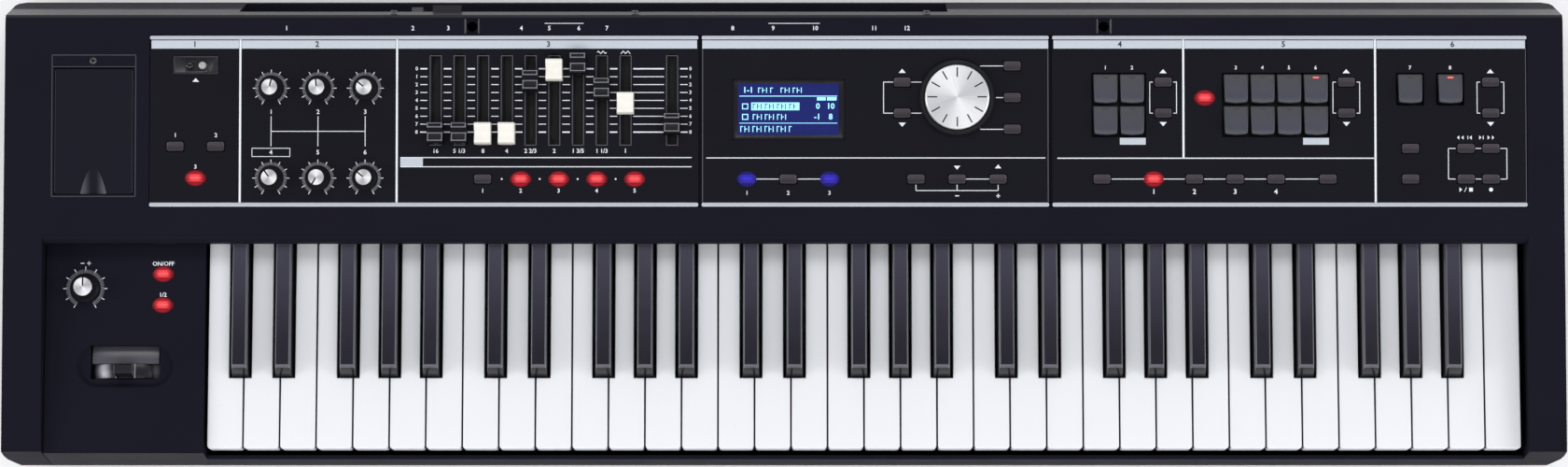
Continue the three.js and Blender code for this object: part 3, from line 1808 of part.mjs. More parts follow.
// The parts on the main board: middle, width and depth as shares of the board's size
const chipShares = [
  [-0.278, 0.108, 0.122, 0.297],
  [-0.056, 0.108, 0.156, 0.378],
  [0.189, -0.162, 0.1, 0.162],
  [0.356, 0.189, 0.078, 0.459],
  [-0.333, -0.351, 0.244, 0.108],
];
const chipHeight = 2.4;
const tallChipHeight = 9;
const chipHeights = [chipHeight, chipHeight, chipHeight, tallChipHeight, tallChipHeight];
const [mainX, mainY] = mainBoardPlace;
const [mainWidth, mainDepth] = mainBoardSize;
const mainBoard = join(
  centredBox(mainX, mainY, ...mainBoardSize, mainBoardHeight, mainBoardHeight + boardThickness),
  chipShares.map(([x, y, width, depth], i) =>
    centredBox(
      mainX + x * mainWidth,
      mainY + y * mainDepth,
      width * mainWidth,
      depth * mainDepth,
      mainBoardHeight + boardThickness / 2,
      mainBoardHeight + boardThickness + chipHeights[i],
    ),
  ),
);
organ.add(named("main_board", mainBoard, boardGreen));

const socketPlate = 2;
const socketLine = 58; // height of the sockets' middle
const socketBoardHeight = 46;
const socketBoardReach = 31.5; // before the pocket's floor
const socketBoardFront = pocketFloor - socketBoardReach;
const socketBody = 15;
const socketNut = 5.6;
const socketNutLength = 3;
const jackRadius = 3.3;
const jackDepth = 18;
const dinRadius = 7.2;
const dinDepth = 8;
const dinBody = 20;
const powerRadius = 3.3;
// Along the pocket, from its left end: phones, outputs, input, pedals
const jackSetbacks = [184, 202, 221, 239, 320, 411, 432];
const dinSetbacks = [346, 373];
const jackPlaces = jackSetbacks.map((x) => pocketLeft + x);
const dinPlaces = dinSetbacks.map((x) => pocketLeft + x);
const powerSocketSetback = 137;
const dataSocketSetback = 33;
const powerSocketPlace = pocketLeft + powerSocketSetback;
const dataSocketPlace = pocketLeft + dataSocketSetback;
const dataSocketSize = [9, 8.4];
const powerSwitchSetback = 114.2;
const powerSwitchPlace = pocketLeft + powerSwitchSetback;
const powerSwitchSize = [7.6, 6.4];
const powerSwitchReach = 12;
const powerSwitchTravel = 2.5;
const powerFlange = 1.5;
const hookSetback = 134.4;
const hookPlace = pocketLeft + hookSetback;
const hookHeight = 70;
const hookWidth = 18.6;
const hookReach = 9;
const hookThickness = 3;

function socketUnit() {
  const front = pocketFloor + clearance;
  const rear = front + socketPlate;
  const face = between(
    pocketLeft + clearance,
    pocketRight - clearance,
    front,
    rear,
    pocketBottom + clearance,
    pocketTop - clearance,
  );
  const board = between(
    pocketLeft + pocketLedge + clearance,
    pocketRight - pocketLedge - clearance,
    socketBoardFront,
    front + socketPlate / 2,
    socketBoardHeight - boardThickness,
    socketBoardHeight,
  );
  const bodyOf = (x, width, depth) =>
    between(
      x - width / 2,
      x + width / 2,
      front - depth - overrun,
      front + socketPlate / 2,
      socketBoardHeight - boardThickness / 2,
      socketLine + width / 2,
    );
  const nut = (x) => rodAlongY(x, rear - overrun, rear + socketNutLength, socketLine, socketNut, postSides);
  const mouth = (x, radius, depth) =>
    rodAlongY(x, rear - depth, rear + socketNutLength + overrun, socketLine, radius);
  const bodies = [
    ...jackPlaces.map((x) => bodyOf(x, socketBody, jackDepth)),
    ...dinPlaces.map((x) => bodyOf(x, dinBody, dinDepth)),
    bodyOf(powerSocketPlace, socketBody, jackDepth),
    bodyOf(dataSocketPlace, socketBody, jackDepth),
  ];
  const switchBody = between(
    powerSwitchPlace - socketBody / 2,
    powerSwitchPlace + socketBody / 2,
    socketBoardFront,
    pocketFloor - powerFlange - powerSwitchTravel - clearance,
    socketBoardHeight - boardThickness / 2,
    socketLine + socketBody / 2,
  );
  const hook = [
    between(
      hookPlace - hookWidth / 2,
      hookPlace + hookWidth / 2,
      rear - overrun,
      rear + hookReach,
      hookHeight,
      hookHeight + hookThickness,
    ),
    between(
      hookPlace - hookWidth / 2,
      hookPlace + hookWidth / 2,
      rear + hookReach - hookThickness,
      rear + hookReach,
      hookHeight - hookThickness,
      hookHeight + hookThickness,
    ),
  ];
  const holes = [
    ...jackPlaces.map((x) => mouth(x, jackRadius, jackDepth)),
    ...dinPlaces.map((x) => mouth(x, dinRadius, dinDepth)),
    mouth(powerSocketPlace, powerRadius, jackDepth),
    between(
      dataSocketPlace - dataSocketSize[0] / 2,
      dataSocketPlace + dataSocketSize[0] / 2,
      rear - jackDepth,
      rear + overrun,
      socketLine - dataSocketSize[1] / 2,
      socketLine + dataSocketSize[1] / 2,
    ),
    between(
      powerSwitchPlace - powerSwitchSize[0] / 2 - clearance,
      powerSwitchPlace + powerSwitchSize[0] / 2 + clearance,
      front - overrun,
      rear + overrun,
      socketLine - powerSwitchSize[1] / 2 - clearance,
      socketLine + powerSwitchSize[1] / 2 + clearance,
    ),
  ];
  return cut(join(face, board, bodies, switchBody, jackPlaces.map(nut), hook), holes);
}
organ.add(named("socket_unit", socketUnit(), smokedBlack));

const powerButton = join(
  centredBox(
    powerSwitchPlace,
    pocketFloor + powerSwitchReach / 2,
    powerSwitchSize[0],
    powerSwitchReach,
    socketLine - powerSwitchSize[1] / 2,
    socketLine + powerSwitchSize[1] / 2,
  ),
  between(
    powerSwitchPlace - powerSwitchSize[0] / 2 - powerFlange,
    powerSwitchPlace + powerSwitchSize[0] / 2 + powerFlange,
    pocketFloor - powerFlange,
    pocketFloor,
    socketLine - powerSwitchSize[1] / 2 - powerFlange,
    socketLine + powerSwitchSize[1] / 2 + powerFlange,
  ),
);
organ.add(named("power_button", powerButton, capGrey));

export default organ;
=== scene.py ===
"""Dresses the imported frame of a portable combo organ: its keys, panel, controls and case."""

import json
import logging
import math
from collections.abc import Callable, Sequence
from dataclasses import dataclass, field
from enum import Enum
from typing import Self

import bmesh
import bpy
from mathutils import Matrix, Vector

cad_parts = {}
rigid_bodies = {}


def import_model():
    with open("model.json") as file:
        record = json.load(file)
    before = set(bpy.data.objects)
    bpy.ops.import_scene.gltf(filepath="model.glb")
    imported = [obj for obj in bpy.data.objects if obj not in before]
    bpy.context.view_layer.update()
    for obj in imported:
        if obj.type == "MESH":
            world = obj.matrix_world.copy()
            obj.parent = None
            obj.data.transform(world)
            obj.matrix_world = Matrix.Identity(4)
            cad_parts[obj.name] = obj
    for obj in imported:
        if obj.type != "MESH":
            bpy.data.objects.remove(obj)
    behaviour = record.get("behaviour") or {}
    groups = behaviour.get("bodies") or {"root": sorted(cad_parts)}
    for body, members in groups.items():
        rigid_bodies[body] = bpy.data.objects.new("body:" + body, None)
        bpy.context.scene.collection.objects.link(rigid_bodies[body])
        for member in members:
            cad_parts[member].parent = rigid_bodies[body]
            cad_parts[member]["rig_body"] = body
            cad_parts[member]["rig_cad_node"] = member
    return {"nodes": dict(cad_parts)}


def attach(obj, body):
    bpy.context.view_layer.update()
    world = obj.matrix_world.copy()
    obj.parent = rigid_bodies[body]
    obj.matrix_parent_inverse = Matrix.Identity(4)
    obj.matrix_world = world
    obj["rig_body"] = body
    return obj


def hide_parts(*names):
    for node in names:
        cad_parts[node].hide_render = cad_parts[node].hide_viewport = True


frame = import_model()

MM = 0.001
ROOT = "case"
OWN = "own"  # the attribute that holds each corner's place in its piece's frame
LINE = 0.5  # the usual width of a printed line, in millimetres
FIGURE = 0.7  # a printed figure's height, as a share of its type's size
BOLD = 0.035  # how much a figure is thickened, as a share of its height
KNOB_START = -150  # a knob's bearing at nought, in degrees
EASED = {"interpolation_type": "SMOOTHSTEP", "clamp": True}
BLACK = (0.0, 0.0, 0.0)
log = logging.getLogger("organ")

Point = Sequence[float]
Pair = tuple[float, float]
Colour = tuple[float, float, float]
Test = Callable[[Vector, bmesh.types.BMFace], bool]


def mm(*values: float) -> Vector:
    """Turns millimetres into a vector in metres."""
    return Vector(values) * MM


def stands(edge: bmesh.types.BMEdge) -> bool:
    """Says whether an edge is upright and sharp."""
    run = edge.verts[0].co - edge.verts[1].co
    return abs(run.z) > 0.9 * run.length and edge.calc_face_angle(0) > 0.5


def is_side(face: bmesh.types.BMFace) -> bool:
    """Says whether a face is a side of a piece."""
    return abs(face.normal.z) < 0.3


def every(middle: Vector, thing: bmesh.types.BMFace) -> bool:
    """Picks all there is."""
    return True


class Pick(Enum):
    """What a selection in edit mode is made of."""

    CORNERS = "VERT"
    EDGES = "EDGE"
    FACES = "FACE"


class Axis(Enum):
    """The line that a rod lies along, as the turn that lays it there."""

    X = (0, math.pi / 2, 0)
    Y = (-math.pi / 2, 0, 0)


@dataclass(frozen=True)
class Slope:
    """The control panel's own frame: x along the organ, y up the slope, z out of the face."""

    tilt: float = math.radians(4.5)
    edge_y: float = -9.17959
    edge_z: float = 85.8

    def matrix(self) -> Matrix:
        """The move from the panel's frame to the organ's."""
        edge = Matrix.Translation(mm(0, self.edge_y, self.edge_z))
        return edge @ Matrix.Rotation(self.tilt, 4, "X")


SLOPE = Slope()
CASE_TOP = Slope(tilt=math.radians(4.5845), edge_z=86.0)
PANEL = SLOPE.matrix()
LEVEL = Matrix.Identity(4)


def spot(place: Point, base: Matrix = PANEL) -> Matrix:
    """The move to a place of the panel, or of another frame."""
    return base @ Matrix.Translation(mm(*place))


class Wire:
    """A shader socket that takes part in Python's sums."""

    def __init__(self, graph: "Graph", socket: bpy.types.NodeSocket) -> None:
        """Keeps the socket and the graph that it belongs to."""
        self.graph = graph
        self.socket = socket

    def _sum(self, operation: str, first: "Wire | float", second: "Wire | float") -> "Wire":
        """Adds one Math node and gives its result."""
        values = {0: first, 1: second}
        return self.graph.node("ShaderNodeMath", {"operation": operation}, values)["Value"]

    def __add__(self, other: "Wire | float") -> "Wire":
        """This value and another."""
        return self._sum("ADD", self, other)

    __radd__ = __add__

    def __sub__(self, other: "Wire | float") -> "Wire":
        """This value less another."""
        return self._sum("SUBTRACT", self, other)

    def __rsub__(self, other: float) -> "Wire":
        """A number less this value."""
        return self._sum("SUBTRACT", other, self)

    def __mul__(self, other: "Wire | float") -> "Wire":
        """This value times another."""
        return self._sum("MULTIPLY", self, other)

    __rmul__ = __mul__

    def __gt__(self, other: "Wire | float") -> "Wire":
        """One where this value is greater, otherwise nought."""
        return self._sum("GREATER_THAN", self, other)

    def __lt__(self, other: "Wire | float") -> "Wire":
        """One where this value is less, otherwise nought."""
        return self._sum("LESS_THAN", self, other)

    def __abs__(self) -> "Wire":
        """This value without its sign."""
        return self._sum("ABSOLUTE", self, 0.0)

    def turned_to(self, other: "Wire") -> "Wire":
        """The angle of the point that has this height and the other value across."""
        return self._sum("ARCTAN2", self, other)

    def wave(self, times: float, shift: float = 0.0) -> "Wire":
        """A smooth wave of this value, between nought and one."""
        return self._sum("SINE", self * times + shift, 0.0) * 0.5 + 0.5

    def ramp(self, low: float, high: float) -> "Wire":
        """This value from low to high as nought to one, eased at both ends."""
        values = {"Value": self, "From Min": low, "From Max": high}
        return self.graph.node("ShaderNodeMapRange", EASED, values)["Result"]


class Made:
    """A node that was made, whose outputs are read by name."""

    def __init__(self, graph: "Graph", node: bpy.types.Node) -> None:
        """Keeps the node and its graph."""
        self.graph = graph
        self.node = node

    def __getitem__(self, output: str) -> Wire:
        """The output of that name."""
        return Wire(self.graph, self.node.outputs[output])


class Graph:
    """The node graph of one finish."""

    def __init__(self, owner: bpy.types.ID, output: str = "ShaderNodeOutputMaterial") -> None:
        """Empties the nodes of a material or of the air, and leaves an output.

        Args:
            owner: what the nodes belong to.
            output: the type of its output node.
        """
        owner.use_nodes = True
        self.tree = owner.node_tree
        self.tree.nodes.clear()
        self.output = self.tree.nodes.new(output)

    def node(self, kind: str, settings: dict | None = None, values: dict | None = None) -> Made:
        """Adds a node.

        Args:
            kind: Blender's name of the node's type.
            settings: what is set on the node before its sockets.
            values: a number, colour or wire for each input, by its name or place.

        Returns:
            The node, whose outputs are read by name.
        """
        node = self.tree.nodes.new(kind)
        for name, value in (settings or {}).items():
            setattr(node, name, value)
        for key, value in (values or {}).items():
            socket = node.inputs[key]
            if isinstance(value, Wire):
                self.tree.links.new(value.socket, socket)
            elif socket.type == "RGBA" and len(value) == 3:
                socket.default_value = (*value, 1.0)
            else:
                socket.default_value = value
        return Made(self, node)

    def place(self) -> Wire:
        """The point of the organ, in metres."""
        return self.node("ShaderNodeTexCoord")["Object"]

    def own(self) -> tuple[Wire, Wire, Wire]:
        """The point in the piece's own frame, in millimetres."""
        return self.split(self.node("ShaderNodeAttribute", {"attribute_name": OWN})["Vector"])

    def split(self, vector: Wire) -> tuple[Wire, Wire, Wire]:
        """The three parts of a vector."""
        parts = self.node("ShaderNodeSeparateXYZ", None, {"Vector": vector})
        return parts["X"], parts["Y"], parts["Z"]

    def joined(self, x: Wire, y: Wire) -> Wire:
        """A vector of two parts."""
        return self.node("ShaderNodeCombineXYZ", None, {"X": x, "Y": y})["Vector"]

    def facing(self) -> tuple[Wire, Wire, Wire]:
        """How far the face leans along x, y and z."""
        return self.split(self.node("ShaderNodeNewGeometry")["Normal"])

    def stretched(self, vector: Wire, scale: Point) -> Wire:
        """A vector with each part scaled."""
        return self.node("ShaderNodeMapping", None, {"Vector": vector, "Scale": scale})["Vector"]

    def noise(self, where: Wire, size: float, detail: float = 2.0) -> Wire:
        """Noise whose lumps are about that many millimetres across."""
        values = {"Vector": where, "Scale": 1 / (size * MM), "Detail": detail}
        return self.node("ShaderNodeTexNoise", None, values)["Fac"]

    def mix(self, share: "Wire | float", low: "Wire | Colour", high: "Wire | Colour") -> Wire:
        """A colour between two others."""
        made = self.node("ShaderNodeMix", {"data_type": "RGBA"}, {0: share, 6: low, 7: high})
        return Wire(self, made.node.outputs[2])

    def bump(self, height: Wire, depth: float, under: Wire | None = None) -> Wire:
        """A normal raised by a height, whose full depth is in millimetres.

        Args:
            height: nought to one.
            depth: the height of one.
            under: a normal that it lies on.

        Returns:
            The normal.
        """
        values = {"Height": height, "Distance": depth * MM, "Strength": 1.0}
        if under is not None:
            values["Normal"] = under
        return self.node("ShaderNodeBump", None, values)["Normal"]

    def softened(self, radius: float) -> Wire:
        """A normal that rounds the edges by that many millimetres."""
        return self.node("ShaderNodeBevel", {"samples": 4}, {"Radius": radius * MM})["Normal"]

    def surface(self, **values: "Wire | float | Colour") -> None:
        """Ends the graph in one shader; each word is a socket's name with _ for a space.

        Args:
            **values: a wire, number or colour for each socket.
        """
        named = {name.replace("_", " "): value for name, value in values.items()}
        shader = self.node("ShaderNodeBsdfPrincipled", None, named)
        self.tree.links.new(shader["BSDF"].socket, self.output.inputs["Surface"])


@dataclass(frozen=True)
class Finish:
    """One finish: its name, the record's slot that it belongs to, and its shader."""

    name: str
    slot: str

    def material(self) -> bpy.types.Material:
        """The finish's material, made the first time it is asked for.

        Returns:
            The material.
        """
        made = bpy.data.materials.get(self.name)
        if made is None:
            made = bpy.data.materials.new(self.name)
            self.paint(Graph(made))
        return made

    def paint(self, graph: Graph) -> None:
        """Builds the shader; each kind of finish has its own."""
        raise NotImplementedError(self.name)


@dataclass(frozen=True)
class Moulded(Finish):
    """Moulded plastic with a fine spark-eroded grain."""

    colour: Colour = (0.0080, 0.0078, 0.0132)
    pale: Colour = (0.0118, 0.0115, 0.0188)
    grain: float = 0.55
    depth: float = 0.03
    rough: float = 0.46
    spread: float = 0.1
    edge: float = 0.0
    gloss: float = 0.08
    polish: float = 0.0
    slope: Sequence[Pair] = ((0.3, 0.6), (0.06, 0.07))
    wall: Sequence[Pair] = ((0.8, 0.95), (0.064, 0.066), (-0.02, -0.015))

    def paint(self, graph: Graph) -> None:
        """Grain in the bump, slow drifts in colour and gloss, and softened edges.

        Args:
            graph: the finish's nodes.
        """
        where = graph.place()
        drift = graph.noise(where, 70, 3)
        grain = graph.noise(where, self.grain)
        under = graph.softened(self.edge) if self.edge else None
        extra = {}
        if self.polish:
            extra = {"Coat_Weight": self.polished(graph), "Coat_Roughness": 0.16}
        graph.surface(
            Base_Color=self.tinted(
                graph, graph.mix(drift * 0.7 + grain * 0.3, self.colour, self.pale)
            ),
            Roughness=graph.noise(where, 25, 3) * self.spread + (self.rough - self.spread / 2),
            Specular_IOR_Level=self.gloss,
            Normal=graph.bump(grain, self.depth, under),
            **extra,
        )

    def tinted(self, graph: Graph, base: Wire) -> Wire:
        """The plastic's own colour; a kind with a painted highlight changes it there."""
        return base

    def polished(self, graph: Graph) -> Wire:
        """Where the mould is smooth: the rear slope, and the low wall behind the keys.

        Args:
            graph: the finish's nodes.

        Returns:
            The coat's weight.
        """
        _, y, z = graph.split(graph.place())
        _, facing, _ = graph.facing()
        lean, height = self.slope
        slope = facing.ramp(*lean) * z.ramp(*height)
        lean, height, depth = self.wall
        wall = (0.0 - facing).ramp(*lean) * z.ramp(*height) * y.ramp(*depth)
        return slope * self.polish + wall * (self.polish * 0.5)


@dataclass(frozen=True)
class Scooped(Moulded):
    """The door's plastic, with a painted highlight on both sides of its finger scoop."""

    # the colour of the painted highlight on the scoop's sides
    rubbed: Colour = (0.085, 0.082, 0.100)
    lean: Pair = (0.05, 0.36)
    level: Pair = (0.85, 0.9)

    def tinted(self, graph: Graph, base: Wire) -> Wire:
        """Finds the scoop by the sideways lean of its face.

        Args:
            graph: the finish's nodes.
            base: the plastic's own colour.

        Returns:
            The colour, with a painted highlight at the scoop.
        """
        side, _, up = graph.facing()
        # painted highlight where the scoop's sides lean sideways
        scoop_highlight_mask = abs(side).ramp(*self.lean) * up.ramp(*self.level)
        return graph.mix(scoop_highlight_mask, base, self.rubbed)


@dataclass(frozen=True)
class Glossy(Finish):
    """Smooth polished plastic, with the faint swirls of handling in its gloss."""

    colour: Colour = (0.01, 0.01, 0.013)
    pale: Colour = (0.016, 0.016, 0.022)
    rough: float = 0.16

    def paint(self, graph: Graph) -> None:
        """Smears in the gloss and a shallow orange-peel bump.

        Args:
            graph: the finish's nodes.
        """
        where = graph.place()
        smear = graph.noise(graph.stretched(where, (1, 0.35, 1)), 9, 3)
        graph.surface(
            Base_Color=graph.mix(smear, self.colour, self.pale),
            Roughness=smear * 0.12 + (self.rough - 0.06),
            Normal=graph.bump(graph.noise(where, 3), 0.004),
        )


@dataclass(frozen=True)
class KeyIvory(Finish):
    """The white keys' plastic: cool white and fine grain, with painted light that pales it towards
    the panel and painted shade on its sides.
    """

    # near and far: painted light along the top, from the front to the panel
    near: Colour = (0.74, 0.755, 0.785)
    far: Colour = (0.80, 0.815, 0.85)
    flank: Colour = (0.10, 0.09, 0.11)
    fade: Pair = (-0.075, 0.006)
    lean: Pair = (0.55, 0.95)
    top: Pair = (0.0650, 0.0659)

    def paint(self, graph: Graph) -> None:
        """Paints light along the top, paler towards the panel, and paints shade on the sides where
        two keys hide each other.

        Args:
            graph: the finish's nodes.
        """
        where = graph.place()
        _, y, z = graph.split(where)
        tone = graph.noise(where, 40, 3) * 0.2
        # painted light: the top pales from the front towards the panel
        top = graph.mix(y.ramp(*self.fade) * 0.8 + tone, self.near, self.far)
        # painted shade on the sides below the top
        flank = abs(graph.facing()[0]).ramp(*self.lean) * (1 - z.ramp(*self.top))
        graph.surface(
            Base_Color=graph.mix(flank * 0.9, top, self.flank),
            Roughness=graph.noise(where, 12, 3) * 0.06 + 0.26,
            Normal=graph.bump(graph.noise(where, 0.4), 0.004),
        )


@dataclass(frozen=True)
class KeyEbony(Finish):
    """The black keys' gloss plastic: dark, with a painted sheen towards the panel and painted
    highlights along its edges.
    """

    dark: Colour = (0.009, 0.008, 0.012)
    sheen: Colour = (0.052, 0.050, 0.074)
    edge: Colour = (0.16, 0.16, 0.195)
    fade: Pair = (-0.095, 0.0)
    top: Pair = (0.0765, 0.0774)
    shoulder: Pair = (0.0740, 0.0752)
    rim: Sequence[Pair] = ((0.2, 0.55), (0.8, 0.97))

    def paint(self, graph: Graph) -> None:
        """A painted sheen that fades along the key, and painted highlights on its rounded edges.

        Args:
            graph: the finish's nodes.
        """
        where = graph.place()
        _, y, z = graph.split(where)
        # painted sheen: the top pales towards the panel
        fade = y.ramp(*self.fade) * 0.8 + graph.noise(where, 14, 3) * 0.2
        top = graph.mix(fade * z.ramp(*self.top), self.dark, self.sheen)
        side, front, _ = graph.facing()
        # painted highlights on the edges that lean to the sides and to the front
        leans = [abs(lean) for lean in (side, front)]
        start, end = self.rim
        rims = [lean.ramp(*start) * (1 - lean.ramp(*end)) for lean in leans]
        edge_highlight = (rims[0] + rims[1]) * z.ramp(*self.shoulder)
        graph.surface(
            Base_Color=graph.mix(edge_highlight * 0.85, top, self.edge),
            Roughness=graph.noise(graph.stretched(where, (1, 0.2, 1)), 6, 3) * 0.12 + 0.12,
            Specular_IOR_Level=0.3,
            Normal=graph.bump(graph.noise(where, 0.5), 0.004),
        )


@dataclass(frozen=True)
class Ink(Finish):
    """Screen-printed ink: an even colour with a slightly uneven film."""

    colour: Colour = (0.80, 0.83, 0.87)
    thin: Colour = (0.66, 0.69, 0.74)

    def paint(self, graph: Graph) -> None:
        """Uneven cover and a little tooth.

        Args:
            graph: the finish's nodes.
        """
        where = graph.place()
        cover = graph.noise(where, 1.6, 3)
        graph.surface(
            Base_Color=graph.mix(cover, self.colour, self.thin),
            Roughness=cover * 0.2 + 0.45,
            Normal=graph.bump(graph.noise(where, 0.3), 0.01),
        )


@dataclass(frozen=True)
class Brushed(Finish):
    """Metal or metallic paint, brushed along the organ."""

    light: Colour = (0.80, 0.83, 0.86)
    dark: Colour = (0.62, 0.65, 0.69)
    metal: float = 0.85
    rough: float = 0.34
    along: Point = (0.04, 1, 1)

    def paint(self, graph: Graph) -> None:
        """Fine lines in one direction, in colour, gloss and bump.

        Args:
            graph: the finish's nodes.
        """
        where = graph.stretched(graph.place(), self.along)
        lines = graph.noise(where, 0.35, 4)
        graph.surface(
            Base_Color=graph.mix(lines, self.light, self.dark),
            Metallic=self.metal,
            Roughness=lines * 0.2 + (self.rough - 0.1),
            Normal=graph.bump(lines, 0.006),
        )


@dataclass(frozen=True)
class Spun(Finish):
    """A turned metal face: wedges of light about its middle and fine rings."""

    light: Colour = (0.95, 0.96, 0.98)
    dark: Colour = (0.42, 0.43, 0.46)
    wedges: float = 2.0
    pitch: float = 0.35
    metal: float = 0.35

    def paint(self, graph: Graph) -> None:
        """Reads the piece's own frame, whose middle is the turning line.

        Args:
            graph: the finish's nodes.
        """
        x, y, _ = graph.own()
        angle = y.turned_to(x)
        broad = angle.wave(self.wedges, 0.6)
        fine = graph.noise(graph.joined(angle.wave(1), angle.wave(1, 1.6)), 60, 4)
        reach = graph.node("ShaderNodeVectorMath", {"operation": "LENGTH"}, {0: graph.joined(x, y)})
        radius = reach["Value"]
        rings = radius.wave(2 * math.pi / self.pitch)
        graph.surface(
            Base_Color=graph.mix(broad * 0.6 + fine * 0.4 - 0.1, self.light, self.dark),
            Metallic=self.metal,
            Roughness=fine * 0.18 + 0.24,
            Normal=graph.bump(rings, 0.01),
        )


@dataclass(frozen=True)
class CapGrey(Finish):
    """An unlit button: smoky grey, with painted light that makes its rear half paler."""

    rear: Colour = (0.038, 0.030, 0.041)
    front: Colour = (0.016, 0.012, 0.018)
    fade: Pair = (-1.6, 1.8)

    def paint(self, graph: Graph) -> None:
        """Paints light on each cap, paler from its own front to its rear.

        Args:
            graph: the finish's nodes.
        """
        _, y, _ = graph.own()
        where = graph.place()
        graph.surface(
            # painted light: the cap pales towards its rear
            Base_Color=graph.mix(y.ramp(*self.fade), self.front, self.rear),
            Roughness=graph.noise(where, 3) * 0.15 + 0.3,
            Normal=graph.bump(graph.noise(where, 0.35), 0.012),
        )


@dataclass(frozen=True)
class CapLit(Finish):
    """A button lit from below: hot in the middle, with bands where the lamp shows."""

    hot: Colour = (1.0, 0.12, 0.13)
    deep: Colour = (0.20, 0.001, 0.005)
    body: Colour = (0.08, 0.002, 0.005)
    power: float = 1.0
    sunk: Pair = (-0.9, -0.2)
    across: Pair = (5.4, 1.6)
    along: Pair = (3.1, 0.7)
    stripe: float = 2.1

    def paint(self, graph: Graph) -> None:
        """Glows by the place on the cap, and not where the cap is below the plate.

        Args:
            graph: the finish's nodes.
        """
        x, y, z = graph.own()
        above = z.ramp(*self.sunk)
        across = abs(x).ramp(*self.across)
        along = abs(y - 0.2).ramp(*self.along)
        bands = y.wave(2 * math.pi / self.stripe, 1.1)
        glow = graph.mix(across * along * (bands * 0.5 + 0.5), self.deep, self.hot)
        graph.surface(
            Base_Color=graph.mix(across * along, self.body, self.deep),
            Roughness=graph.noise(graph.place(), 4) * 0.1 + 0.28,
            Specular_IOR_Level=0.25,
            Emission_Color=graph.mix(above, BLACK, glow),
            Emission_Strength=self.power,
        )


@dataclass(frozen=True)
class Halo(Finish):
    """Light that leaks from a lit button onto the plate round it."""

    light: Colour = (0.42, 0.004, 0.012)
    plate: Colour = (0.0056, 0.0054, 0.0088)
    pale: Colour = (0.0082, 0.0080, 0.0126)
    reach: Pair = (7.3, 5.4)
    fade: Pair = (1.0, 0.45)

    def paint(self, graph: Graph) -> None:
        """Fades from the button outwards, to nothing at the reach.

        Args:
            graph: the finish's nodes.
        """
        x, y, _ = graph.own()
        wide, deep = self.reach
        spread = (x * x) * (1 / wide**2) + (y * y) * (1 / deep**2)
        graph.surface(
            Base_Color=graph.mix(graph.noise(graph.place(), 0.4), self.plate, self.pale),
            Roughness=graph.noise(graph.place(), 3) * 0.1 + 0.4,
            Specular_IOR_Level=0.08,
            Emission_Color=graph.mix(spread.ramp(*self.fade), BLACK, self.light),
            Emission_Strength=1.0,
        )


@dataclass(frozen=True)
class PadGrey(Finish):
    """A tone pad: satin grey, with painted shade at the rear edge and down its sides."""

    rear: Colour = (0.021, 0.021, 0.029)
    middle: Colour = (0.042, 0.042, 0.060)
    side: Colour = (0.007, 0.007, 0.009)
    fade: Pair = (9.0, -3.0)
    flanks: Pair = (7.0, 8.1)
    foot: Pair = (1.0, -0.6)

    def paint(self, graph: Graph) -> None:
        """Paints shade by the pad's own frame: darker at the rear, down its sides and at its foot.

        Args:
            graph: the finish's nodes.
        """
        x, y, z = graph.own()
        # painted shade: the top darkens towards the rear
        top = graph.mix(y.ramp(*self.fade), self.rear, self.middle)
        # painted shade down the sides and at the foot
        side = abs(x).ramp(*self.flanks) + z.ramp(*self.foot)
        where = graph.place()
        graph.surface(
            Base_Color=graph.mix(side * 0.7, top, self.side),
            Roughness=graph.noise(where, 8, 3) * 0.12 + 0.36,
            Normal=graph.bump(graph.noise(where, 0.4), 0.014),
        )


@dataclass(frozen=True)
class Ridged(Finish):
    """A black drawbar cap: gloss black, with painted highlights round the edges of its two ridges.
    """

    colour: Colour = (0.003, 0.003, 0.005)
    # the colour of the painted highlights round the ridges
    rim: Colour = (0.24, 0.24, 0.28)
    ridges: Sequence[Pair] = ((3.9, 6.4), (-4.6, 0.2))
    side: float = 4.5

    def paint(self, graph: Graph) -> None:
        """Draws a painted highlight round each ridge in the cap's own frame.

        Args:
            graph: the finish's nodes.
        """
        x, y, _ = graph.own()
        # painted highlight lines round each ridge
        rims = 0.0
        for low, high in self.ridges:
            ends = self.line(y - low) + self.line(y - high)
            sides = self.line(abs(x) - self.side) * (y > low - 0.3) * (y < high + 0.3)
            rims = ends * (abs(x) < self.side + 0.3) + sides + rims
        graph.surface(
            Base_Color=graph.mix(rims * 0.8, self.colour, self.rim),
            Roughness=graph.noise(graph.place(), 5, 3) * 0.1 + 0.2,
            Specular_IOR_Level=0.18,
        )

    @staticmethod
    def line(distance: Wire) -> Wire:
        """One on a line, falling off on both sides of it."""
        return 1 - abs(distance).ramp(0.15, 0.42)


@dataclass(frozen=True)
class Bender(Finish):
    """The bender's gloss plastic, with painted highlight streaks and a painted sheen."""

    dark: Colour = (0.010, 0.010, 0.014)
    bright: Colour = (0.44, 0.43, 0.51)
    streaks: Sequence[tuple[float, float, float]] = ()
    fade: Pair = (0.0, 1.0)
    faded: float = 0.0

    def paint(self, graph: Graph) -> None:
        """Draws each painted highlight streak across the piece's own frame, and a painted sheen
        that fades from rear to front.

        Args:
            graph: the finish's nodes.
        """
        x, y, _ = graph.own()
        # painted sheen and painted highlight streaks, mixed into the base colour
        light = y.ramp(*self.fade) * self.faded
        for place, half, strength in self.streaks:
            light = (1 - abs(x - place).ramp(0.0, half)) * strength + light
        graph.surface(
            Base_Color=graph.mix(light, self.dark, self.bright),
            Roughness=graph.noise(graph.place(), 6, 3) * 0.1 + 0.18,
            Specular_IOR_Level=0.4,
        )


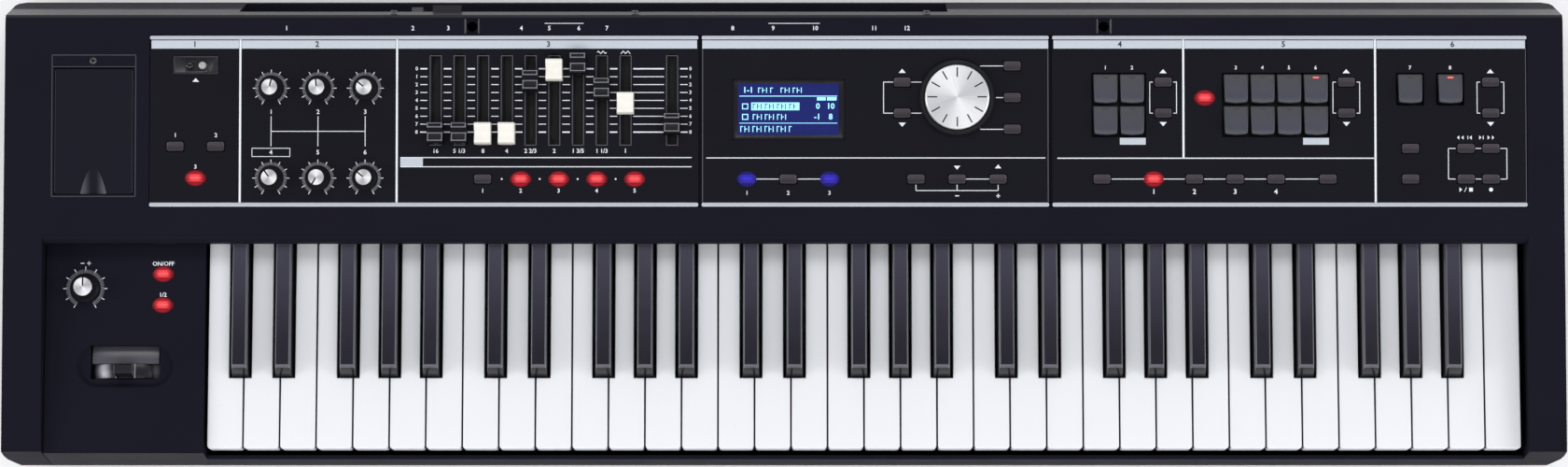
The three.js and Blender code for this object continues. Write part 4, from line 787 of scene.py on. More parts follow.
@dataclass(frozen=True)
class Screen(Finish):
    """The display's lit face: blue cells with a fine grid between them."""

    glow: Colour = (0.004, 0.013, 0.15)
    gap: Colour = (0.002, 0.005, 0.08)
    cell: float = 0.5
    power: float = 1.0
    line: Pair = (0.03, 0.2)
    dim: Sequence[Pair] = ((36, 22), (19, 10))

    def paint(self, graph: Graph) -> None:
        """Draws the grid in the piece's own frame, a little dimmer at the rim.

        Args:
            graph: the finish's nodes.
        """
        x, y, _ = graph.own()
        turns = 2 * math.pi / self.cell
        grid = x.wave(turns).ramp(*self.line) * y.wave(turns).ramp(*self.line)
        rim = abs(x).ramp(*self.dim[0]) * abs(y).ramp(*self.dim[1])
        colour = graph.mix(grid * (rim * 0.5 + 0.5), self.gap, self.glow)
        graph.surface(
            Base_Color=(0.004, 0.005, 0.03),
            Roughness=graph.noise(graph.place(), 30) * 0.04 + 0.08,
            Emission_Color=colour,
            Emission_Strength=self.power,
        )


@dataclass(frozen=True)
class Circuit(Finish):
    """A printed circuit board: solder mask over paler tracks."""

    mask: Colour = (0.012, 0.07, 0.035)
    track: Colour = (0.03, 0.16, 0.08)
    part: Colour = (0.003, 0.003, 0.004)
    tilt: float = 0.0
    face: float = 1.0

    def paint(self, graph: Graph) -> None:
        """Tracks as bands of warped stripes, and black parts above the board's face.

        Args:
            graph: the finish's nodes.
        """
        where = graph.place()
        x, y, z = graph.split(where)
        bend = graph.noise(where, 12, 1) * 8
        tracks = (x * 900 + bend).wave(1).ramp(0.7, 0.8) * (y * 300 + bend).wave(1).ramp(0.3, 0.4)
        height = z * math.cos(self.tilt) - y * math.sin(self.tilt)
        parts = height.ramp(self.face + 0.1 * MM, self.face + 0.3 * MM)
        sheet = graph.mix(tracks, self.mask, self.track)
        graph.surface(
            Base_Color=graph.mix(parts, sheet, self.part),
            Roughness=tracks * 0.15 + 0.3,
            Normal=graph.bump(tracks, 0.03),
        )


class Finishes:
    """Every finish of the organ, by the thing that wears it."""

    case = Moulded("case_plastic", "case_black", edge=1.1, gloss=0.012, polish=0.36)
    block = Moulded("block_plastic", "case_black", edge=0.7, rough=0.4, gloss=0.012)
    plate = Moulded(
        "plate_print_black",
        "panel_black",
        colour=(0.0056, 0.0054, 0.0088),
        pale=(0.0082, 0.0080, 0.0126),
        grain=0.4,
        depth=0.012,
        rough=0.4,
        edge=0.3,
    )
    door = Scooped("door_plastic", "case_black", rough=0.4, gloss=0.06)
    smoked = Glossy("smoked_plastic", "smoked_black", rough=0.24)
    # painted highlight streaks on the lever, and a painted sheen on the yoke
    lever = Bender(
        "bender_plastic",
        "smoked_black",
        streaks=((-15.0, 6.5, 0.9), (-6.0, 0.6, 0.8), (6.2, 0.6, 0.7), (20.5, 4.5, 0.35)),
    )
    yoke = Bender("yoke_plastic", "smoked_black", fade=(15.5, 2.0), faded=0.14)
    ivory = KeyIvory("key_ivory", "key_white")
    ebony = KeyEbony("key_ebony", "key_black")
    white_ink = Ink("white_ink", "print_white")
    grey_ink = Ink("grey_ink", "print_white", (0.085, 0.085, 0.10), (0.06, 0.06, 0.072))
    faint_ink = Ink("faint_ink", "print_white", (0.036, 0.036, 0.046), (0.026, 0.026, 0.034))
    fine_ink = Ink("fine_ink", "print_white", (0.30, 0.30, 0.34), (0.24, 0.24, 0.27))
    dark_ink = Ink("dark_ink", "panel_print", (0.012, 0.012, 0.018), (0.02, 0.02, 0.028))
    band = Ink("band_ink", "panel_print", (0.52, 0.56, 0.62), (0.46, 0.50, 0.56))
    bar = Brushed("bar_silver", "panel_bar", (0.55, 0.57, 0.63), (0.44, 0.46, 0.51), 0.5, 0.44)
    spun = Spun("spun_dial", "dial_silver")
    cap_metal = Spun("spun_cap", "knob_silver", (0.98, 0.98, 0.99), (0.22, 0.22, 0.25), 2.0, 0.3)
    skirt = Moulded(
        "knob_plastic", "smoked_black", (0.008, 0.008, 0.01), (0.013, 0.013, 0.016), 0.5, 0.02, 0.4
    )
    grey_cap = CapGrey("button_smoke", "button_grey")
    red_cap = CapLit("button_red", "lamp_red", power=1.15)
    blue_cap = CapLit(
        "button_blue", "lamp_blue", (0.04, 0.03, 0.6), (0.007, 0.004, 0.11), (0.01, 0.006, 0.09)
    )
    halo = Halo("lamp_halo", "lamp_red")
    blue_halo = Halo("blue_halo", "lamp_blue", (0.012, 0.008, 0.20))
    red_lamp = CapLit("pad_lamp", "lamp_red", (1.0, 0.12, 0.09), (0.8, 0.03, 0.03), power=1.6)
    pad = PadGrey("pad_satin", "pad_grey")
    drawbar_white = Glossy(
        "drawbar_ivory", "drawbar_white", (0.78, 0.76, 0.69), (0.84, 0.83, 0.77), 0.3
    )
    drawbar_black = Ridged("drawbar_ebony", "drawbar_black")
    clear_lens = Glossy("clear_lens", "drawbar_white", (0.30, 0.30, 0.31), (0.42, 0.42, 0.43), 0.1)
    screen = Screen("screen_glow", "display_blue")
    glyph = CapLit(
        "screen_glyph", "display_blue", (0.45, 0.95, 1.0), (0.40, 0.85, 1.0), (0.1, 0.3, 0.4), 1.0
    )
    window = Glossy("window_black", "display_blue", (0.003, 0.003, 0.006), (0.006, 0.006, 0.01))
    rubber = Moulded(
        "foot_rubber", "foot_rubber", (0.014, 0.014, 0.014), (0.022, 0.022, 0.022), 1.2, 0.12, 0.85
    )
    steel = Brushed("bracket_steel", "bracket_steel", (0.6, 0.6, 0.62), (0.42, 0.42, 0.44), 0.95)
    screw = Brushed(
        "screw_steel", "screw_steel", (0.12, 0.12, 0.13), (0.06, 0.06, 0.07), 0.9, 0.38, (1, 0.3, 1)
    )
    nickel = Brushed(
        "socket_nickel",
        "screw_steel",
        (0.55, 0.55, 0.56),
        (0.36, 0.36, 0.38),
        metal=0.95,
        rough=0.3,
        along=(1, 0.2, 1),
    )
    frame = Moulded(
        "frame_plastic", "frame_grey", (0.10, 0.10, 0.11), (0.14, 0.14, 0.15), 0.8, 0.04, 0.55
    )
    board = Circuit("circuit_board", "board_green")
    panel_board = Circuit(
        "panel_circuit_board",
        "board_green",
        mask=(0.004, 0.008, 0.006),
        track=(0.008, 0.016, 0.012),
        tilt=SLOPE.tilt,
        face=71.85 * MM,
    )
    collar = Glossy(
        "collar_gloss", "smoked_black", (0.004, 0.004, 0.006), (0.008, 0.008, 0.011), 0.2
    )


class Bench:
    """The bench that pieces are made on."""

    @staticmethod
    def rest() -> None:
        """Leaves edit mode and deselects everything."""
        active = bpy.context.view_layer.objects.active
        if active is not None and active.mode == "EDIT":
            bpy.ops.object.mode_set(mode="OBJECT")
        bpy.ops.object.select_all(action="DESELECT")

    @staticmethod
    def take(body: bpy.types.Object) -> None:
        """Selects one object and makes it the active one.

        Args:
            body: the object.
        """
        Bench.rest()
        body.select_set(True)
        bpy.context.view_layer.objects.active = body


class Piece:
    """One mesh on the bench, in millimetres, shaped by Blender's own operators."""

    def __init__(self, body: bpy.types.Object) -> None:
        """Takes an object that was just made."""
        self.body = body

    @classmethod
    def block(cls, low: Point, high: Point) -> Self:
        """A block between two opposite corners.

        Args:
            low: the lowest corner.
            high: the highest corner.

        Returns:
            The block.
        """
        Bench.rest()
        middle = [(a + b) / 2 for a, b in zip(low, high)]
        bpy.ops.mesh.primitive_cube_add(size=1, location=mm(*middle))
        piece = cls(bpy.context.object)
        piece.body.scale = mm(*[b - a for a, b in zip(low, high)])
        return piece.apply()

    @classmethod
    def disc(cls, centre: Point, radius: float, sides: int) -> Self:
        """A filled circle that faces up, to be drawn into a turned piece.

        Args:
            centre: its middle.
            radius: its radius.
            sides: how many edges it has.

        Returns:
            The disc.
        """
        Bench.rest()
        bpy.ops.mesh.primitive_circle_add(
            vertices=sides, radius=radius * MM, fill_type="NGON", location=mm(*centre)
        )
        return cls(bpy.context.object).apply()

    @classmethod
    def turned(cls, profile: Sequence[Pair], sides: int = 48) -> Self:
        """A turned piece about the z line.

        Args:
            profile: radius and height of each step, from the floor up and inwards.
            sides: how many faces go round.

        Returns:
            The piece, closed and with its faces outwards.
        """
        radius, height = profile[0]
        piece = cls.disc((0, 0, height), radius, sides)
        piece.pick(Pick.FACES, every)
        for wide, high in profile[1:]:
            piece.draw((0, 0, high - height))
            if wide != radius:
                piece.resize((wide / radius, wide / radius, 1), (0, 0, high))
            radius, height = wide, high
        return piece.outwards()

    @classmethod
    def rod(cls, start: Point, length: float, radius: float, axis: Axis, sides: int) -> Self:
        """A rod from a point along an axis.

        Args:
            start: the middle of one end.
            length: its length.
            radius: its radius.
            axis: the line it lies along.
            sides: how many faces go round.

        Returns:
            The rod.
        """
        Bench.rest()
        step = Matrix.Identity(3)
        for turn, name in zip(axis.value, "XYZ"):
            step = Matrix.Rotation(turn, 3, name) @ step
        middle = mm(*start) + step @ mm(0, 0, length / 2)
        bpy.ops.mesh.primitive_cylinder_add(
            vertices=sides,
            radius=radius * MM,
            depth=length * MM,
            location=middle,
            rotation=axis.value,
        )
        return cls(bpy.context.object).apply()

    @classmethod
    def copy_of(cls, node: str) -> Self:
        """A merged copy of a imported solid, free to be changed.

        Args:
            node: the solid's name.

        Returns:
            The copy, with no finish and on no body.
        """
        Bench.rest()
        body = frame["nodes"][node].copy()
        body.data = body.data.copy()
        body.parent = None
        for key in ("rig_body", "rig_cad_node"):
            if key in body:
                del body[key]
        bpy.context.scene.collection.objects.link(body)
        body.hide_render = body.hide_viewport = False
        body.data.materials.clear()
        return cls(body).merge()

    def apply(self) -> Self:
        """Puts the object's place, turn and size into its mesh.

        Returns:
            This piece.
        """
        Bench.take(self.body)
        bpy.ops.object.transform_apply(location=True, rotation=True, scale=True)
        return self

    def edit(self) -> None:
        """Opens the piece in edit mode, unless it is open already."""
        if self.body.mode != "EDIT":
            Bench.take(self.body)
            bpy.ops.object.mode_set(mode="EDIT")
            bpy.ops.mesh.select_all(action="DESELECT")

    def pick(self, kind: Pick, test: Test) -> Self:
        """Selects corners, edges or faces.

        Args:
            kind: which of them.
            test: says yes to a middle, in millimetres, and the thing itself.

        Returns:
            This piece, with only those selected.
        """
        self.edit()
        bpy.ops.mesh.select_mode(type=kind.value)
        bpy.ops.mesh.select_all(action="DESELECT")
        mesh = bmesh.from_edit_mesh(self.body.data)
        mesh.normal_update()
        things = {Pick.CORNERS: mesh.verts, Pick.EDGES: mesh.edges, Pick.FACES: mesh.faces}
        for thing in things[kind]:
            corners = [thing] if kind is Pick.CORNERS else thing.verts
            middle = sum((v.co for v in corners), Vector()) / len(corners) / MM
            if test(middle, thing):
                thing.select_set(True)
        mesh.select_flush_mode()
        bmesh.update_edit_mesh(self.body.data)
        return self

    def all(self) -> Self:
        """Selects the whole piece.

        Returns:
            This piece.
        """
        self.edit()
        bpy.ops.mesh.select_all(action="SELECT")
        return self

    def draw(self, move: Point) -> Self:
        """Extrudes what is selected."""
        bpy.ops.mesh.extrude_region_move(TRANSFORM_OT_translate={"value": mm(*move)})
        return self

    def inset(self, width: float, depth: float = 0.0, each: bool = False) -> Self:
        """Insets the selected faces, and sinks or lifts them."""
        bpy.ops.mesh.inset(thickness=width * MM, depth=depth * MM, use_individual=each)
        return self

    def bevel(self, width: float, steps: int) -> Self:
        """Rounds the selected edges."""
        bpy.ops.mesh.bevel(offset=width * MM, segments=steps, clamp_overlap=True)
        return self

    def shift(self, move: Point) -> Self:
        """Moves what is selected."""
        bpy.ops.transform.translate(value=mm(*move))
        return self

    def resize(self, factors: Point, centre: Point) -> Self:
        """Scales what is selected about a point."""
        bpy.ops.transform.resize(value=factors, center_override=mm(*centre))
        return self

    def rotate(self, angle: float, centre: Point, axis: str = "Z") -> Self:
        """Turns what is selected about a point, anticlockwise seen from the axis's end."""
        bpy.ops.transform.rotate(value=-angle, orient_axis=axis, center_override=mm(*centre))
        return self

    def slice(self, at: Point, normal: Point) -> Self:
        """Cuts every face along a plane and leaves both sides.

        Args:
            at: a point of the plane.
            normal: the way that it faces.

        Returns:
            This piece.
        """
        self.all()
        bpy.ops.mesh.bisect(plane_co=mm(*at), plane_no=normal)
        return self

    def delete(self) -> Self:
        """Deletes the selected faces."""
        bpy.ops.mesh.delete(type="FACE")
        return self

    def outwards(self) -> Self:
        """Merges doubles and turns every face outwards.

        Returns:
            This piece.
        """
        self.all()
        bpy.ops.mesh.remove_doubles(threshold=0.01 * MM)
        bpy.ops.mesh.select_all(action="SELECT")
        bpy.ops.mesh.normals_make_consistent(inside=False)
        return self

    def merge(self) -> Self:
        """Merges the loose corners of a copied solid and joins its flat faces.

        Returns:
            This piece.
        """
        self.all()
        bpy.ops.mesh.remove_doubles(threshold=0.002 * MM)
        bpy.ops.mesh.select_all(action="SELECT")
        bpy.ops.mesh.dissolve_limited(angle_limit=math.radians(0.5))
        return self

    def soften(self, width: float, steps: int = 2, over: float = 30.0) -> Self:
        """Rounds every edge sharper than an angle in degrees.

        Args:
            width: the round's width.
            steps: its faces.
            over: the angle.

        Returns:
            This piece.
        """
        self.edit()
        bpy.ops.mesh.select_mode(type="EDGE")
        bpy.ops.mesh.select_all(action="DESELECT")
        bpy.ops.mesh.edges_select_sharp(sharpness=math.radians(over))
        return self.bevel(width, steps)

    def less(self, *tools: "Piece") -> Self:
        """Cuts other pieces out of this one and throws them away.

        Args:
            *tools: the pieces that cut.

        Returns:
            This piece.
        """
        for tool in tools:
            Bench.take(self.body)
            cutter = self.body.modifiers.new("cut", "BOOLEAN")
            cutter.operation = "DIFFERENCE"
            cutter.solver = "EXACT"
            cutter.object = tool.body
            bpy.ops.object.modifier_apply(modifier=cutter.name)
            tool.discard()
        return self

    def discard(self) -> None:
        """Throws the piece away."""
        Bench.rest()
        bpy.data.objects.remove(self.body, do_unlink=True)

    def join(self, *others: "Piece") -> Self:
        """Takes other pieces into this one.

        Args:
            *others: the pieces that end in it.

        Returns:
            This piece.
        """
        Bench.take(self.body)
        for other in others:
            other.body.select_set(True)
        bpy.ops.object.join()
        return self

    def remember(self, centre: Point = (0, 0, 0)) -> Self:
        """Keeps each corner's place from a centre, in millimetres, for the shaders.

        Args:
            centre: the place that counts as nought.

        Returns:
            This piece.
        """
        Bench.rest()
        mesh = self.body.data
        own = mesh.attributes.get(OWN) or mesh.attributes.new(OWN, "FLOAT_VECTOR", "POINT")
        for corner, value in zip(mesh.vertices, own.data):
            value.vector = corner.co / MM - Vector(centre)
        return self

    def copy(self, move: Point = (0, 0, 0)) -> "Piece":
        """A copy with its own mesh, moved.

        Args:
            move: how far it is moved.

        Returns:
            The copy.
        """
        Bench.take(self.body)
        bpy.ops.object.duplicate(linked=False)
        piece = Piece(bpy.context.object)
        piece.body.location = mm(*move)
        return piece.apply()

    def spread(self, moves: Sequence[Matrix]) -> "Piece":
        """Lays a copy at each place and joins the copies."""
        copies = [self.copy().settle(move) for move in moves]
        return copies[0].join(*copies[1:])

    def settle(self, matrix: Matrix = LEVEL, at: Point = (0, 0, 0), turn: float = 0.0) -> Self:
        """Puts the piece in its place for good.

        Args:
            matrix: the frame that the place is given in.
            at: the place, in millimetres.
            turn: a turn about the piece's own z line, clockwise seen from above.

        Returns:
            This piece, with its place in its mesh.
        """
        Bench.rest()
        move = Matrix.Translation(mm(*at)) @ Matrix.Rotation(-turn, 4, "Z")
        self.body.matrix_world = matrix @ move
        return self.apply()

    def smooth(self, angle: float) -> Self:
        """Shades smooth across edges flatter than an angle in degrees.

        Args:
            angle: the angle.

        Returns:
            This piece.
        """
        Bench.take(self.body)
        bpy.ops.object.shade_smooth_by_angle(angle=math.radians(angle))
        return self

    def done(
        self, name: str, finish: Finish, body: str = ROOT, stands_for: Sequence[str] = ()
    ) -> None:
        """Names the piece, gives it its finish and puts it on its body.

        Args:
            name: the piece's name.
            finish: what it wears.
            body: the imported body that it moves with.
            stands_for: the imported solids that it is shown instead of.
        """
        Bench.rest()
        self.body.name = self.body.data.name = name
        self.body.data.materials.clear()
        self.body.data.materials.append(finish.material())
        if stands_for:
            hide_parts(*stands_for)
        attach(self.body, body)
        log.info("%s: %d faces on %s", name, len(self.body.data.polygons), body)


class Sheet(Piece):
    """Ink on a flat face: strips, dots, arrows and numerals, drawn at z = 0 and then raised."""

    def __init__(self) -> None:
        """Starts an empty sheet."""
        Bench.rest()
        bpy.ops.mesh.primitive_plane_add(size=1)
        super().__init__(bpy.context.object)
        self.all().delete()
        self.glyphs: list[Piece] = []

    def strip(self, x0: float, y0: float, x1: float, y1: float) -> Self:
        """A strip between two corners.

        Args:
            x0: its left.
            y0: its front.
            x1: its right.
            y1: its rear.

        Returns:
            This sheet.
        """
        self.edit()
        middle = ((x0 + x1) / 2, (y0 + y1) / 2, 0)
        bpy.ops.mesh.primitive_plane_add(size=1, location=mm(*middle))
        self.resize((abs(x1 - x0) * MM, abs(y1 - y0) * MM, 1), middle)
        return self

    def across(self, y: float, x0: float, x1: float, width: float = LINE) -> Self:
        """A line along x."""
        return self.strip(x0, y - width / 2, x1, y + width / 2)

    def upright(self, x: float, y0: float, y1: float, width: float = LINE) -> Self:
        """A line along y."""
        return self.strip(x - width / 2, y0, x + width / 2, y1)

    def path(self, points: Sequence[Pair]) -> Self:
        """A line of straight runs, each turned to its bearing.

        Args:
            points: its ends and bends.

        Returns:
            This sheet.
        """
        for (x0, y0), (x1, y1) in zip(points, points[1:]):
            x, y, half = (x0 + x1) / 2, (y0 + y1) / 2, math.hypot(x1 - x0, y1 - y0) / 2
            self.across(y, x - half, x + half).rotate(math.atan2(y1 - y0, x1 - x0), (x, y, 0))
        return self

    def spoke(
        self, centre: Point, bearing: float, inner: float, outer: float, width: float
    ) -> Self:
        """A tick on a circle; the bearing is in degrees, clockwise from the rear.

        Args:
            centre: the circle's middle.
            bearing: where it is.
            inner: its near end.
            outer: its far end.
            width: how thick it is.

        Returns:
            This sheet.
        """
        x, y = centre[0], centre[1]
        self.strip(x - width / 2, y + inner, x + width / 2, y + outer)
        self.rotate(-math.radians(bearing), (x, y, 0))
        return self

    def dot(self, x: float, y: float, radius: float, sides: int) -> Self:
        """A filled circle, or a triangle with three sides.

        Args:
            x: its middle.
            y: its middle.
            radius: its radius.
            sides: how many edges it has.

        Returns:
            This sheet.
        """
        self.edit()
        bpy.ops.mesh.primitive_circle_add(
            vertices=sides, radius=radius * MM, fill_type="NGON", location=mm(x, y, 0)
        )
        return self

    def arrow(self, x: float, y: float, width: float, turn: float = 0.0) -> Self:
        """A flat triangle that points to the rear, or is turned in degrees clockwise.

        Args:
            x: its middle.
            y: its middle.
            width: how wide it is.
            turn: the turn.

        Returns:
            This sheet.
        """
        self.dot(x, y, width / math.sqrt(3), 3)
        self.resize((1, 0.66, 1), (x, y, 0))
        if turn:
            self.rotate(-math.radians(turn), (x, y, 0))
        return self

    def frame(self, x0: float, y0: float, x1: float, y1: float, width: float) -> Self:
        """An outlined box.

        Args:
            x0: its left.
            y0: its front.
            x1: its right.
            y1: its rear.
            width: how thick the lines are.

        Returns:
            This sheet.
        """
        half = width / 2
        self.across(y0, x0 - half, x1 + half, width).across(y1, x0 - half, x1 + half, width)
        return self.upright(x0, y0, y1, width).upright(x1, y0, y1, width)

    def numeral(self, text: str, x: float, y: float, height: float) -> Self:
        """Plain figures, centred on a point.

        Args:
            text: the figures.
            x: their middle.
            y: their middle.
            height: how tall they are.

        Returns:
            This sheet.
        """
        Bench.rest()
        bpy.ops.object.text_add(location=(0, 0, 0))
        body = bpy.context.object
        body.data.body = text
        body.data.align_x = body.data.align_y = "CENTER"
        body.data.size = height / FIGURE * MM
        body.data.resolution_u = 2
        body.data.offset = BOLD * height * MM
        bpy.ops.object.convert(target="MESH")
        glyph = Piece(bpy.context.object)
        glyph.body.location = mm(x, y, 0)
        self.glyphs.append(glyph.apply())
        return self

    def print_on(self, matrix: Matrix = PANEL, z: float = 0.0, thickness: float = 0.07) -> Self:
        """Raises the ink from a face and lays it in place.

        Args:
            matrix: the face's frame.
            z: the face's height in it.
            thickness: how far the ink stands up.

        Returns:
            This sheet.
        """
        if self.glyphs:
            Bench.rest()
            self.join(*self.glyphs)
            self.glyphs = []
        self.all()
        bpy.ops.mesh.normals_make_consistent(inside=False)
        self.draw((0, 0, thickness + 0.02))
        self.all()
        bpy.ops.mesh.normals_make_consistent(inside=False)
        self.remember()
        self.settle(matrix, (0, 0, z - 0.02))
        return self


def dress(finish: Finish, *nodes: str) -> None:
    """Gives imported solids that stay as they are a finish.

    Args:
        finish: what they wear.
        *nodes: their names.
    """
    for node in nodes:
        mesh = frame["nodes"][node].data
        mesh.materials.clear()
        mesh.materials.append(finish.material())
        log.info("%s keeps its solid, in %s", node, finish.name)


@dataclass
class Studio:
    """The floor, the soft lights and the camera at the photo's angle, in metres."""

    lean: float = math.radians(7)
    distance: float = 3.0
    aim: Point = (0.0, -0.0075, 0.082)
    lens: float = 107.1
    floor_reach: float = 12.0
    lamps: Sequence[tuple[str, Point, Point, float]] = (
        ("front", (0.0, -1.9, 2.9), (3.8, 1.4), 52.0),
        ("rear", (0.0, 1.7, 2.8), (3.6, 1.2), 34.0),
        ("left", (-2.6, -0.3, 1.3), (1.0, 1.6), 24.0),
        ("right", (2.6, -0.3, 1.3), (1.0, 1.6), 24.0),
    )

    def build(self) -> None:
        """Makes the camera first, then the floor, the lamps and the air."""
        self.camera()
        self.floor()
        for name, place, size, power in self.lamps:
            self.lamp(name, place, size, power)
        self.air()

    def camera(self) -> None:
        """Looks down on the panel, tilted a little to the player's side."""
        Bench.rest()
        back = Vector((0, -math.sin(self.lean), math.cos(self.lean)))
        bpy.ops.object.camera_add(
            location=Vector(self.aim) + back * self.distance, rotation=(self.lean, 0, 0)
        )
        camera = bpy.context.object
        camera.data.lens = self.lens
        camera.data.sensor_width = 36.0
        bpy.context.scene.camera = camera
        bpy.context.scene.view_settings.view_transform = "Standard"

    def floor(self) -> None:
        """Lays a wide pale floor."""
        Bench.rest()
        bpy.ops.mesh.primitive_circle_add(
            vertices=96, radius=self.floor_reach / 2, fill_type="NGON", location=(0, 0, 0)
        )
        floor = Piece(bpy.context.object)
        floor.pick(Pick.FACES, every).draw((0, 0, -20))
        floor.outwards()
        paper = Ink("studio_paper", "print_white", (0.93, 0.93, 0.94), (0.95, 0.95, 0.96))
        floor.body.data.materials.append(paper.material())
        Bench.rest()
        floor.body.name = "studio_floor"

    @staticmethod
    def lamp(name: str, place: Point, size: Point, power: float) -> None:
        """Hangs one soft box that faces the organ.

        Args:
            name: its name.
            place: where it hangs.
            size: its two sides.
            power: its watts.
        """
        Bench.rest()
        turn = (Vector((0, 0, 0.08)) - Vector(place)).to_track_quat("-Z", "Y").to_euler()
        bpy.ops.object.light_add(type="AREA", location=place, rotation=turn)
        lamp = bpy.context.object
        lamp.name = "lamp_" + name
        lamp.data.shape = "RECTANGLE"
        lamp.data.size, lamp.data.size_y = size
        lamp.data.energy = power

    @staticmethod
    def air() -> None:
        """Fills the room with pale light that dims overhead."""
        world = bpy.data.worlds.new("studio_air")
        bpy.context.scene.world = world
        graph = Graph(world, "ShaderNodeOutputWorld")
        _, _, up = graph.split(graph.node("ShaderNodeTexCoord")["Generated"])
        sky = graph.mix(up.ramp(0.1, 1.0), (0.85, 0.85, 0.87), (0.36, 0.36, 0.38))
        air = graph.node("ShaderNodeBackground", None, {"Color": sky, "Strength": 0.85})
        graph.tree.links.new(air["Background"].socket, graph.output.inputs["Surface"])


@dataclass
class KeyCombs:
    """The sixty-one keys, on the three combs of each octave; sizes in millimetres."""

    left: float = -371.5
    pitch: float = 23.5
    gap: float = 1.0
    front: float = -144.78
    rear: float = 7.82
    top: float = 66.0
    skirt: float = 12.0
    front_skirt: float = 17.0
    front_block: float = 14.0
    wall: float = 2.0
    roof: float = 2.6
    corner: float = 2.0
    notch: float = 7.25
    black_front: float = -98.18
    black_base: float = 12.2
    black_top: float = 9.2
    black_shelf: float = 4.6
    black_rise: float = 11.5
    black_run: float = 6.2
    black_skirt: float = 8.0
    black_round: float = 1.15
    groove: float = 1.8
    rim: float = 0.75
    arm_half: float = 3.5
    arm_lift: float = 4.2
    arm_thick: float = 5.4
    claw: float = 3.0
    panel_edge: float = -9.2
    gaps: Sequence[int] = (1, 2, 4, 5, 6)
    shifts: Sequence[float] = (-2.25, 2.25, -3.2, 0.0, 3.2)
    bars: Sequence[float] = (30.02, 37.02, 44.02)
    bar_height: float = 53.0
    octaves: int = 5

    def build(self) -> None:
        """Models one octave's combs and copies them along the keybed."""
        combs = (
            ("white_outer", "white_keys_outer", self.white, (0, 2, 4, 6), Finishes.ivory),
            ("white_inner", "white_keys_inner", self.white, (1, 3, 5), Finishes.ivory),
            ("black", "black_keys", self.black, range(5), Finishes.ebony),
        )
        for row, (kind, node, model, keys, finish) in enumerate(combs):
            master = self.comb([model(key) for key in keys], row)
            for octave in range(self.octaves):
                comb = master.copy((octave * 7 * self.pitch, 0, 0))
                if kind == "white_outer" and octave == self.octaves - 1:
                    comb.join(self.white(7 * self.octaves))
                names = (f"{kind}_keys_{octave + 1}", f"{kind}_{octave + 1}")
                comb.smooth(38).done(names[0], finish, names[1], (f"{node}_octave_{octave + 1}",))
            master.discard()

    def middle(self, index: int) -> float:
        """Where the middle of a black key of the first octave is."""
        return self.left + self.gaps[index] * self.pitch + self.shifts[index]

    def span(self, index: int) -> tuple[float, float, float, float]:
        """A white key's two sides, and those of the lane that its black neighbours leave.

        Args:
            index: the key's number from the left.

        Returns:
            The key's left and right, and the lane's.
        """
        place = index % 7
        left = self.left + index * self.pitch + self.gap / 2
        right = left + self.pitch - self.gap
        lane_left, lane_right = left, right
        if place in self.gaps:
            lane_left = self.middle(self.gaps.index(place)) + self.notch
        if place + 1 in self.gaps and index < 7 * self.octaves:
            lane_right = self.middle(self.gaps.index(place + 1)) - self.notch
        return left, right, lane_left, lane_right

    def arm(self, x: float, row: int) -> Piece:
        """The strip from a key back to its bar, with the claw that holds the bar.

        Args:
            x: its middle.
            row: which bar it hangs on.

        Returns:
            The arm.
        """
        bar = self.bars[row]
        low, start = self.bar_height + self.arm_lift, bar - self.claw
        arm = Piece.block(
            (x - self.arm_half, self.rear - 1, low),
            (x + self.arm_half, bar + self.claw, low + self.arm_thick),
        )
        arm.slice((0, start, 0), (0, 1, 0))
        arm.pick(Pick.FACES, lambda c, f: f.normal.z < -0.9 and c.y > start)
        return arm.draw((0, 0, self.bar_height - low)).soften(0.4, 1)

    def comb(self, keys: list[Piece], row: int) -> Piece:
        """Joins keys to the rod that they hang on.

        Args:
            keys: the keys of one octave.
            row: which bar they hang on.

        Returns:
            The comb.
        """
        start = (self.left + 0.6, self.bars[row], self.bar_height)
        rod = Piece.rod(start, 7 * self.pitch - 1.2, self.claw, Axis.X, 16)
        return keys[0].join(rod.soften(0.4, 1), *keys[1:])

    def white(self, index: int) -> Piece:
        """One white key: its head, the tail between the black keys, the deep front and its arm.

        Args:
            index: its number from the left.

        Returns:
            The key.
        """
        left, right, lane_left, lane_right = self.span(index)
        head = self.black_front - self.gap
        low = self.top - self.skirt
        key = Piece.block((left, self.front, low), (right, head, self.top))
        for x in (lane_left, lane_right):
            if left < x < right:
                key.slice((x, 0, 0), (1, 0, 0))
        block = self.front + self.front_block
        key.slice((0, block, 0), (0, 1, 0))
        key.pick(Pick.FACES, lambda c, f: f.normal.y > 0.9 and lane_left < c.x < lane_right)
        key.draw((0, self.rear - head, 0))
        key.pick(Pick.FACES, lambda c, f: f.normal.z < -0.9 and c.y < block)
        key.draw((0, 0, self.skirt - self.front_skirt))
        key.pick(Pick.EDGES, lambda c, e: abs(c.y - self.front) < 0.1 and stands(e))
        key.bevel(self.corner, 5)
        key.pick(Pick.EDGES, lambda c, e: abs(c.z - self.top) < 0.01 and self.rims(e))
        key.bevel(self.rim, 3)
        hollow = Piece.block(
            (lane_left + self.wall, block + 0.05, low - 1),
            (lane_right - self.wall, self.rear - self.wall, self.top - self.roof),
        )
        return key.less(hollow).join(self.arm((lane_left + lane_right) / 2, index % 7 % 2))

    @staticmethod
    def rims(edge: bmesh.types.BMEdge) -> bool:
        """Says whether an edge lies between a top face and a side."""
        return edge.calc_face_angle(0) > 0.6 and any(f.normal.z > 0.9 for f in edge.link_faces)

